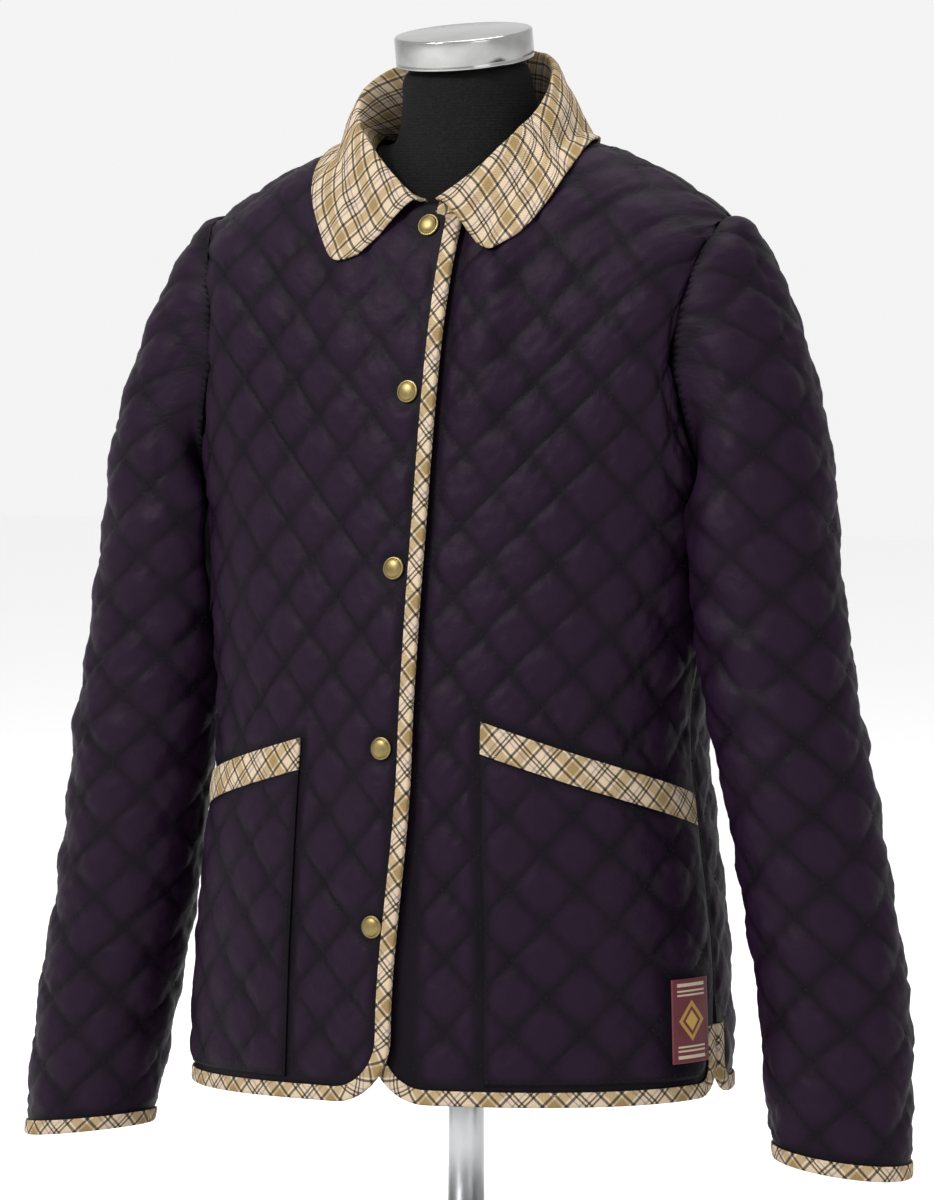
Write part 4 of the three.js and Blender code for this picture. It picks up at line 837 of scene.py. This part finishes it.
def rounded(path, step=2.0):
    path = np.asarray(path, float)
    keep = np.concatenate([[True], np.linalg.norm(np.diff(path, axis=0), axis=1) > 0.05])
    path = path[keep]
    run = np.concatenate([[0], np.cumsum(np.linalg.norm(np.diff(path, axis=0), axis=1))])
    at = np.linspace(0, run[-1], max(int(run[-1] / step), 4))
    return np.stack([np.interp(at, run, path[:, k]) for k in (0, 1)], -1), at


def binding(name, cad, face, path, closed, seed):
    places, run = rounded(path)
    if closed:
        places, run = places[:-1], run[:-1]
        way = np.tile([1.0, 0.0], (len(places), 1))
    else:
        way = unit(np.gradient(places, axis=0))
    inward = np.stack([-way[:, 1], way[:, 0]], -1)
    puff = 0.25 * crumple(run * 2.2, 0 * run, seed)
    middle, reach = CLOTH / 2, CLOTH / 2 + BIND_GAP
    flanks = [(BIND_WIDE, 0.0), (BIND_WIDE - 0.9, 0.5), (5.5, 0.75), (2.5, 0.85), (0.6, 0.6)]
    rows = [(w, middle - reach - BIND_PLY - b * 0.25, w, middle - reach) for w, b in flanks]
    for a in np.linspace(-math.pi / 2, math.pi / 2, 9)[1:-1]:
        rows.append((-BIND_GAP - BIND_PLY * math.cos(a) * 1.15 + 0.5 * (1 - math.cos(a)),
                     middle + math.sin(a) * (reach + BIND_PLY + 0.1),
                     -BIND_GAP * math.cos(a), middle + math.sin(a) * reach))
    rows += [(w, middle + reach + BIND_PLY + b * 0.45, w, middle + reach) for w, b in reversed(flanks)]

    def strip(inset, height):
        return face.off(*(places + inward * inset).T, height)

    outer = np.stack([strip(w, h + (puff if 0.5 < w < BIND_WIDE - 0.5 and h > middle else 0))
                      for w, h, _, _ in rows], 1)
    inner = np.stack([strip(w, h) for _, _, w, h in rows], 1)
    across = np.array([w if h > middle else -w - 5 for w, h, _, _ in rows])
    uv = np.stack(np.broadcast_arrays(run[:, None], across[None, :]), -1)
    a, b = (places + inward * (BIND_WIDE - 1.6)).T
    if closed:
        outer, inner = np.concatenate([outer, outer[:1]]), np.concatenate([inner, inner[:1]])
        uv = np.concatenate([uv, uv[:1] + [run[1] - run[0] + run[-1], 0]])
        a, b = np.append(a, a[0]), np.append(b, b[0])
    made = dress(closed_wall(name, inner, outer, uv), "plaid", cad, cloth=plaid_bias)
    line = face.seam(a, b, CLOTH + BIND_GAP + BIND_PLY + 0.25)
    thread = dress(sewn(name + "_stitches", [line], tan_thread, Thread_radius=0.00022), "plaid")


def outline(grid, is_front):
    """The free edge of a front from its neck, or of the back from its vent, round the hem to the far vent."""
    p, q = grid
    near, low = list(zip(p[::-1, 0], q[::-1, 0])), list(zip(p[0], q[0]))
    far = [(a, b) for a, b in zip(p[:, -1], q[:, -1]) if b < VENT_HEIGHT + 0.5]
    if is_front:
        near = [(a, b) for a, b in zip(p[-1], q[-1]) if a < -6][::-1] + near
    else:
        near = [(a, b) for a, b in near if b < VENT_HEIGHT + 0.5]
    return near + low[1:] + far


binding("right_front_trim", "right_front_binding", right_face, outline(right_grid, True),
        False, 3)
binding("left_front_trim", "left_front_binding", left_face, outline(left_grid, True), False, 4)
binding("back_trim", "back_binding", back_face, outline(back_grid, False), False, 5)
for hand in ("left", "right"):
    cuff = [(p, 0.0) for p in np.linspace(-SLEEVE_ROUND / 2, SLEEVE_ROUND / 2, 142)]
    binding(hand + "_cuff_trim", hand + "_cuff_binding", sleeve_faces[hand], cuff,
            True, 6)

# Collar: one piece of the plaid, two-ply, that stands up from the neckline and folds over on itself.
# It is sewn in at the neck, topstitched round its edge, and its fall rests on the shoulders and chest.
COLLAR = np.array([  # place from front to back, the fold's x y z, the outer edge's x y z
    (0, 7, -67, 706, 41, -74, 677), (0.06, 12, -64, 710, 50, -73, 672), (0.13, 19, -60, 716, 58, -71, 675),
    (0.25, 32, -52, 728, 70, -62, 685), (0.38, 48, -41, 746, 82, -42, 702), (0.5, 60, -25, 766, 88, -16, 724),
    (0.62, 60, -2, 786, 84, 16, 739), (0.75, 45, 24, 799, 66, 50, 739), (0.88, 24, 39, 805, 38, 75, 733),
    (1, 0, 44, 807, 0, 85, 730)], float)
COLLAR_CLOTH, COLLAR_CLEAR = 2.0, 6.4


def samples_near_neck():
    places, normals = [], []
    for face, low, high in ((right_face, -LAP, 150), (left_face, 0, 150), (back_face, -150, 150)):
        p, down = np.meshgrid(np.arange(low, high, 5.0), np.arange(0, 112, 5.0))
        q = face.top_at(p) - down
        places.append(face.read(face.P, p, q).reshape(-1, 3))
        normals.append(unit(face.read(face.N, p, q)).reshape(-1, 3))
    return np.concatenate(places), np.concatenate(normals)


def keep_out(points, clear):
    """Moves points away from the body cloth until they lie clear of it."""
    for _ in range(2):
        near = ((points[:, None, :] - neck_places[None]) ** 2).sum(-1).argmin(1)
        away = ((points - neck_places[near]) * neck_normals[near]).sum(-1)
        points = points + neck_normals[near] * np.maximum(clear - away, 0)[:, None]
    return points


def collar_line(place):
    s, hand = 1 - abs(place), -1 if place < 0 else 1
    neck_p, front_part = QUARTER * NECK_SHARE, 0.44
    is_front = s < front_part
    p = mix(4, neck_p, s / front_part) if is_front else neck_p * (1 - (s - front_part) / (1 - front_part))
    end, heading = column_end(p / QUARTER, -1 if is_front else 1)
    face = left_face if is_front else back_face
    normal = unit(face.read(face.N, p, face.top_at(p) - 1))
    base = end + heading
    base[2] += 3.2 * (1 - smooth(abs(s - front_part), 0.1, 0.32))
    normal = unit(mix(normal, np.array([0.95, 0, 0.1]), 1 - float(smooth(abs(s - front_part), 0, 0.08))))
    if hand < 0 and is_front:
        base = base + normal * LAP_LIFT * (1 - smooth(p, -4, 62))
    wide_fold, wide_edge, drop = (1.22, 1.13, 9) if hand < 0 else (1, 1, 0)
    read = [float(along(COLLAR, k, s)) for k in range(1, 7)]
    fold, edge = np.array([read[0] * wide_fold, read[1], read[2]]), np.array([read[3] * wide_edge, read[4],
            read[5]])
    edge[2] -= drop * (1 - smooth(s, 0.1, 0.35))
    out = unit((edge - fold) * [1, 1, 0])
    rise = np.linalg.norm(fold - base)
    roll = min(9, rise * 0.7)
    stand = hermite(base, heading * rise, fold, out * roll, np.linspace(0, 1, 13))
    fall = hermite(fold, out * roll * 3, edge, (edge - fold) * 0.9, np.linspace(0, 1, 34)[1:] ** 1.15)
    flip = np.array([hand, 1, 1])
    return np.vstack([stand, fall]) * flip, (base + normal * COLLAR_CLOTH) * flip


neck_places, neck_normals = samples_near_neck()
half_round = np.linspace(0, 1, 76) ** 1.1
lines = [collar_line(s) for s in np.concatenate([half_round - 1, 1 - half_round[-2::-1]])]
fall_rows = smooth(np.arange(46), 13, 22)
under = np.array([line for line, _ in lines])
for i in range(14, 46):
    under[:, i] = keep_out(under[:, i], COLLAR_CLEAR * fall_rows[i])
for _ in range(2):
    under[1:-1, 14:] = 0.5 * under[1:-1, 14:] + 0.25 * (under[:-2, 14:] + under[2:, 14:])
sewn_base = np.array([base for _, base in lines])
across_run = np.concatenate([np.zeros((len(under), 1)),
                             np.cumsum(np.linalg.norm(np.diff(under, axis=1), axis=-1), 1)], 1)
middle_run = np.concatenate([[0], np.cumsum(np.linalg.norm(np.diff(under[:, 24], axis=0), axis=-1))])
long_run = middle_run - middle_run.mean()
u, v = long_run[:, None] + 0 * across_run, across_run
to_rim = np.minimum(across_run[:, -1:] - across_run,
                    np.minimum(long_run[:, None] - long_run[0], long_run[-1] - long_run[:, None]))
normal = unit(np.cross(np.gradient(under, axis=0), np.gradient(under, axis=1)))
wave = crumple(u * 0.55, v * 0.8, 71) * smooth(across_run, 12, 35) * 1.3
edge_seam = 0.35 * np.exp(-((to_rim - 6) / 1.3) ** 2) * smooth(across_run, 26, 40)
lifted = under - normal * wave[..., None] * smooth(to_rim, -6, 10)[..., None]
thick = COLLAR_CLOTH * (0.62 + 0.38
                        * smooth(to_rim, 0, 2.5)) + 0.25 * np.exp(-((to_rim - 3) / 1.8) ** 2) - edge_seam
collar_top = lifted - normal * thick[..., None]
collar_top[:, 0] = sewn_base
collar = closed_wall("collar_cloth", lifted, collar_top, np.stack([u, v], -1))
dress(collar, "plaid", "collar", cloth=plaid_straight)


def inside_rim(distance, height):
    """A line of places along the fall's edge, in from it by a distance and out by a height."""
    found, outs = [], []
    last = len(under) - 1
    first_i = int(np.searchsorted(long_run, long_run[0] + distance))
    for i in range(20, 46):
        if across_run[first_i, -1] - across_run[first_i, i] >= distance:
            found.append(collar_top[first_i, i]), outs.append(-normal[first_i, i])
    for j in range(first_i + 1, last - first_i):
        i = int(np.argmin(np.abs(across_run[j, -1] - across_run[j] - distance)))
        near = np.interp(across_run[j, -1] - distance, across_run[j], np.arange(46))
        low, part = int(near), near - int(near)
        found.append(mix(collar_top[j, low], collar_top[j, min(low + 1, 45)],
                         part)), outs.append(-normal[j, i])
    end_j = last - first_i
    for i in range(45, 19, -1):
        if across_run[end_j, -1] - across_run[end_j, i] >= distance:
            found.append(collar_top[end_j, i]), outs.append(-normal[end_j, i])
    return np.array(found) + np.array(outs) * height, np.array(outs)


collar_stitches = dress(sewn("collar_stitches", [inside_rim(6.0, 0.1)], tan_thread, Thread_radius=0.0002),
                        "plaid")

# Patch pockets: one layer of quilted satin sewn on each front, open along a sloping top.
# A plaid band, cut on the bias, is folded over each opening and stitched along both of its edges.
PATCH, POCKET_BASE, POCKET_CORNER, POCKET_INSET = 1.6, CLOTH + 0.6, 14, 12
LABEL_P, LABEL_Q, LABEL_WIDE, LABEL_TALL = 219.0, 51.0, 34.0, 55.0


def pocket_foot(p):
    return POCKET_FOOT + draw_back(POCKET_CORNER, side_edge(0.0) - POCKET_INSET - p)


def off_label(p, q):
    """How far a place lies outside the label's rim."""
    return np.maximum(np.abs(p - LABEL_P) - LABEL_WIDE / 2, np.abs(q - LABEL_Q) - LABEL_TALL / 2)


for side, face, front, tall, flat_area, seed in (("left", left_face, left_front, 0.215, 0.0324, 61),
                                                 ("right", right_face, right_front, 0.201, 0.0310, 67)):
    cols = np.concatenate([POCKET_IN + 8 * np.linspace(0, 1, 7)[:-1] ** 1.5, np.arange(83, 239, 2.4),
                           np.linspace(239, POCKET_OUT, 7)])
    p, t = np.meshgrid(cols, np.linspace(0, 1, 82))
    pull = np.minimum(p, side_edge(0.0) - POCKET_INSET + smooth(t * 200, 40, 70) * POCKET_INSET)
    q = mix(pocket_foot(p), band_top(p, side) - BAND - SEAM, t)
    level, high = puffed(pull, q, seed)
    fade = smooth(pull - POCKET_IN, 0, 9) * smooth(q - pocket_foot(p), 0, 9)
    fade = fade * smooth(band_top(p, side) - BAND - q, 0, 9) * smooth(POCKET_OUT - p, 0, 8)
    if side == "left":
        fade = fade * mix(0.12, 1, smooth(off_label(p, q), 1, 14))
    tuck = 0.7 * np.exp(-(np.minimum(pull - POCKET_IN, q - pocket_foot(p)) / 2.2) ** 2)
    patch = closed_wall(side + "_pocket_cloth", face.off(pull, q, POCKET_BASE - tuck * 0.6),
                        face.off(pull, q, POCKET_BASE + PATCH - tuck + 0.8 * high * fade),
                        np.stack([pull, q], -1), level * fade)
    dress(patch, "quilted", side + "_pocket", cloth=satin)
    stitches = quilting_lines(face, POCKET_IN + 3, POCKET_OUT - 3, POCKET_BASE + PATCH + STITCH_LIFT,
                              lambda a, b: (
        (b > pocket_foot(a) + 3) & (b < band_top(a, side) - BAND - 2)
        & ((side == "right") | (off_label(a, b) > 1))))
    edge_q = np.arange(POCKET_FOOT + 2.5, float(band_top(POCKET_IN, side)) - BAND - 1, 3.0)
    edge_p = np.arange(POCKET_IN + 2.5, 228, 3.0)
    for a, b in ((POCKET_IN + 2.5 + 0 * edge_q, edge_q), (edge_p, POCKET_FOOT + 2.5 + 0 * edge_p)):
        stitches.append(face.seam(a, b, POCKET_BASE + PATCH))
    patch_quilting = dress(sewn(side + "_pocket_quilting", stitches, dark_thread), "quilted")

    p, t = np.meshgrid(np.linspace(POCKET_IN, POCKET_OUT, 88), np.linspace(0, 1, 22))
    q = band_top(p, side) - BAND * (1 - t)
    rim = np.minimum(np.minimum(t, 1 - t) * BAND, np.minimum(p - POCKET_IN, POCKET_OUT - p))
    swell = 0.35 * smooth(rim, 0, 1.2) + 0.35 * smooth(rim, 2.2, 8) - 0.3 * np.exp(-((rim - 2.2) / 0.7) ** 2)
    swell = swell + 0.22 * crumple(p * 1.6, q * 1.6, 81) * smooth(rim, 2, 6)
    band = closed_wall(side + "_pocket_trim", face.off(p, q, POCKET_BASE),
                       face.off(p, q, POCKET_BASE + 1.6 + swell),
                       np.stack([p, q], -1))
    dress(band, "plaid", side + "_pocket_band", cloth=plaid_bias)
    a = np.arange(POCKET_IN + 2, POCKET_OUT - 2, 3.0)
    edges = [face.seam(a, band_top(a, side) - inset, POCKET_BASE + 1.85) for inset in (2.2, BAND - 2.2)]
    band_sewing = dress(sewn(side + "_pocket_trim_stitches", edges, tan_thread, Thread_radius=0.0002),
                        "plaid")

# Label: a woven patch on the left pocket, maroon with a gold lozenge between cream bars.
# It is a thin folded tape, stitched down all round near the side seam.
MAROON, DARK_MAROON = (0.10, 0.010, 0.018), (0.10, 0.012, 0.018)
GOLD, PALE_GOLD = (0.40, 0.22, 0.04), (0.46, 0.29, 0.065)
BAR_CREAM, BAR_HALF = (0.50, 0.41, 0.30), 0.0125
woven, tree, shader = material("woven label", {"Roughness": 0.6})
axes = node(tree, "ShaderNodeSeparateXYZ", Vector=node(tree, "ShaderNodeUVMap", uv_map="cloth")).outputs
size_x, size_y = calc(tree, "ABSOLUTE", axes["X"]), calc(tree, "ABSOLUTE", axes["Y"])
lozenge = calc(tree, "ADD", calc(tree, "DIVIDE", size_x, 0.0115), calc(tree, "DIVIDE", size_y, 0.0135))
layers = [(tone, calc(tree, "LESS_THAN", lozenge, reach))
          for tone, reach in ((GOLD, 1.0), (DARK_MAROON, 0.72), (PALE_GOLD, 0.5))]
for middle, half in ((0.0235, 0.0011), (0.0195, 0.0006), (0.0168, 0.0006)):
    away = calc(tree, "ABSOLUTE", calc(tree, "SUBTRACT", size_y, middle))
    in_bar = calc(tree, "MULTIPLY", calc(tree, "LESS_THAN", size_x, BAR_HALF),
                  calc(tree, "LESS_THAN", away, half))
    layers.append((BAR_CREAM, in_bar))
colour = (*MAROON, 1)
for tone, where in layers:
    colour = node(tree, "ShaderNodeMix", {0: where, 6: colour, 7: (*tone, 1)}, data_type="RGBA").outputs[2]
picks = calc(tree, "SINE", calc(tree, "MULTIPLY", axes["Y"], 2 * math.pi / 0.0005))
warps = calc(tree, "SINE", calc(tree, "MULTIPLY", axes["X"], 2 * math.pi / 0.0006))
shade = ranged(tree, calc(tree, "ADD", picks, warps), 0.72, 1.15, -2, 2)
fill(shader, {"Base Color": scaled(tree, colour, shade), "Normal": bump(tree, picks, 0.4, 0.0002)})
x, y = np.meshgrid(np.linspace(-LABEL_WIDE / 2, LABEL_WIDE / 2, 30),
                   np.linspace(-LABEL_TALL / 2, LABEL_TALL / 2, 46))
rim = np.minimum(LABEL_WIDE / 2 - np.abs(x), LABEL_TALL / 2 - np.abs(y))
ripple = 0.35 * crumple(x * 0.8, y * 0.7, 91) * smooth(rim, 0, 6) + 0.25 * smooth(rim, 0, 1.5)
label_base = POCKET_BASE + PATCH + 0.6
under, over = (left_face.off(x + LABEL_P, y + LABEL_Q, label_base + high) for high in (0, 0.55 + ripple))
label = dress(closed_wall("label_cloth", under, over, np.stack([x, y], -1)), "label", "label", cloth=woven)
red_thread = thread_material("maroon thread", (0.08, 0.006, 0.012), (0.2, 0.03, 0.04))
w, h = LABEL_WIDE / 2 - 1.4, LABEL_TALL / 2 - 1.4
a = np.concatenate([np.linspace(-w, w, 16), np.full(24, w), np.linspace(w, -w, 16),
                    np.full(24, -w)]) + LABEL_P
b = np.concatenate([np.full(16, -h), np.linspace(-h, h, 24), np.full(16, h),
                    np.linspace(h, -h, 24)]) + LABEL_Q
label_sewing = dress(sewn("label_stitches", [left_face.seam(a, b, label_base + 0.85)], red_thread,
                          Stitch_length=0.0016, Step=0.0023, Thread_radius=0.00016), "label")

# Snaps: five pressed brass caps riveted through the right front on the line where it overlaps the left.
# A Geometry Nodes tree turns one cap section round and sets a cap at each place, facing out.


def metal(name, scale, dark, light, smoothest, roughest):
    """Metal whose colour and gloss vary a little over its surface."""
    made, tree, shader = material(name, {"Metallic": 1.0})
    smear = noise(tree, object_places(tree), Scale=scale, Detail=4.0)
    fill(shader, {"Base Color": ramp(tree, smear, [(0, dark), (1, light)]),
                  "Roughness": ranged(tree, smear, smoothest, roughest)})
    return made


def snap_tree():
    tree, given, result = geometry_tree("pressed caps", ("Cap", "Object", None), ("Size", "Float", 1.0),
                                        ("Metal", "Material", None))
    cap = node(tree, "GeometryNodeObjectInfo", Object=given["Cap"]).outputs["Geometry"]
    stand = node(tree, "FunctionNodeAlignRotationToVector", axis="Z", Vector=direction_out(tree))
    laid = node(tree, "GeometryNodeInstanceOnPoints", Points=given["Geometry"], Instance=cap, Rotation=stand,
                Scale=given["Size"])
    real = node(tree, "GeometryNodeRealizeInstances", Geometry=laid)
    fill(result, {"Geometry": node(tree, "GeometryNodeSetMaterial", Geometry=real, Material=given["Metal"])})
    return tree


def turned(name, profile, steps, middle=(0, 0, 0), tilt=0.0):
    """A closed body turned from radii and heights in millimetres, its first and last points on the axis."""
    work = bmesh.new()
    lean = Matrix.Rotation(math.radians(tilt), 4, "X")
    rings = []
    for r, h in profile:
        if r < 1e-6:
            rings.append([work.verts.new((lean @ Vector((0, 0, h)) + Vector(middle)) * MM)])
        else:
            rings.append([work.verts.new((lean @ Vector((r * math.cos(k * 2 * math.pi / steps),
                                                         r * math.sin(k * 2 * math.pi / steps), h))
                                          + Vector(middle)) * MM) for k in range(steps)])
    for low, high in zip(rings, rings[1:]):
        for k in range(steps):
            around = [low[k % len(low)], low[(k + 1) % len(low)], high[(k + 1) % len(high)],
                      high[k % len(high)]]
            corners = [v for i, v in enumerate(around) if v not in around[:i]]
            work.faces.new(corners)
    bmesh.ops.recalc_face_normals(work, faces=work.faces)
    mesh = bpy.data.meshes.new(name)
    work.to_mesh(mesh)
    work.free()
    shade_smooth(mesh)
    return placed(name, mesh)


brass = metal("brushed brass", 180.0, (0.12, 0.088, 0.036), (0.28, 0.215, 0.09), 0.32, 0.5)
section = [(0, 0), (7.2, 0), (7.45, 0.25), (7.5, 0.7), (7.35, 1.15), (6.9, 1.35), (6.6, 1.25), (6.35, 1.45)]
section += [(6.2 * math.cos(a), 1.6 + 2.0 * math.sin(a)) for a in np.radians(np.arange(5, 90, 8))] + [(0,
        3.6)]
cap_shape = turned("cap section", section, 40)
spots, outs = zip(*(right_face.seam(p, q, CLOTH + 0.5) for p, q in SNAPS))
snaps = grown("snap_caps", snap_tree(), np.array(spots), np.array(outs), [],
              {"Cap": cap_shape, "Metal": brass})
bpy.data.objects.remove(cap_shape)
dress(snaps, "brass", *["snap_" + str(i) for i in range(1, 6)])

# Dress form: a padded torso without limbs, under a tight black knitted cover.
# Only its neck shows above the collar; it stands on the pole that its floor takes.
jersey, tree, shader = material("black jersey", {"Roughness": 0.9, "Specular IOR Level": 0.12})
place = object_places(tree)
knit = node(tree, "ShaderNodeTexWave", Vector=place, bands_direction="Z", Scale=160.0, Distortion=1.2,
            Detail=1.0)
lint = noise(tree, place, Scale=700.0, Detail=3.0)
fill(shader, {"Base Color": ramp(tree, lint,
                                 [(0.35, (0.003, 0.003, 0.0032)), (0.9, (0.011, 0.0105, 0.0115))]),
              "Normal": bump(tree, knit.outputs["Fac"], 0.3, 0.0003)})
form = placed("dress_form_cover", bpy.data.objects["dress_form"].data.copy())
work = bmesh.new()
work.from_mesh(form.data)
bmesh.ops.remove_doubles(work, verts=work.verts, dist=0.00002)
work.to_mesh(form.data)
work.free()
soften = form.modifiers.new("soften", "SUBSURF")
soften.levels = soften.render_levels = 2
form_mesh = bpy.data.meshes.new_from_object(form.evaluated_get(bpy.context.evaluated_depsgraph_get()))
form.modifiers.remove(soften)
form.data = form_mesh
shade_smooth(form_mesh)
form_mesh.materials.clear()
dress(form, "jersey", "dress_form", cloth=jersey)

# Neck cap: a chromed disc that closes the form's neck, its top tilted forward like the neck's own cut.
# It is pressed on the neck; a fine groove runs round it below its polished top.
chrome = metal("chrome", 45.0, (0.15, 0.15, 0.148), (0.46, 0.46, 0.455), 0.1, 0.24)
profile = [(0, 0), (45.4, 0), (46, 0.6), (46, 2.2), (45.5, 2.8), (46, 3.4)]
profile += [(44.2 + 1.8 * math.cos(a), 18.2 + 1.8 * math.sin(a)) for a in np.radians(range(0, 91, 15))] + [(0,
        20)]
cap = turned("neck_cap_chrome", profile, 96, (0, -11.1, 796.4), 10)
dress(cap, "chrome", "neck_cap", cloth=chrome)

# Stand: a brushed steel pole from the form's floor to a round weighted plate.
# The pole is screwed to the plate, which lies flat on the floor.
steel = metal("brushed steel", 45.0, (0.38, 0.385, 0.39), (0.55, 0.555, 0.56), 0.28, 0.4)
for name, profile, cad, low in (
        ("pole_steel", [(0, 0), (11.5, 0), (12, 0.5), (12, 141.9), (11.5, 142.4), (0, 142.4)], "pole", 9.3),
        ("base_steel", [(0, 0), (149.6, 0), (150, 0.4), (150, 6.2), (149.3, 7.9), (147.6, 8.8), (146, 9),
                        (0, 9)],
         "base", 0.0)):
    dress(turned(name, profile, 96, (0, -10, low)), "steel", cad, cloth=steel)
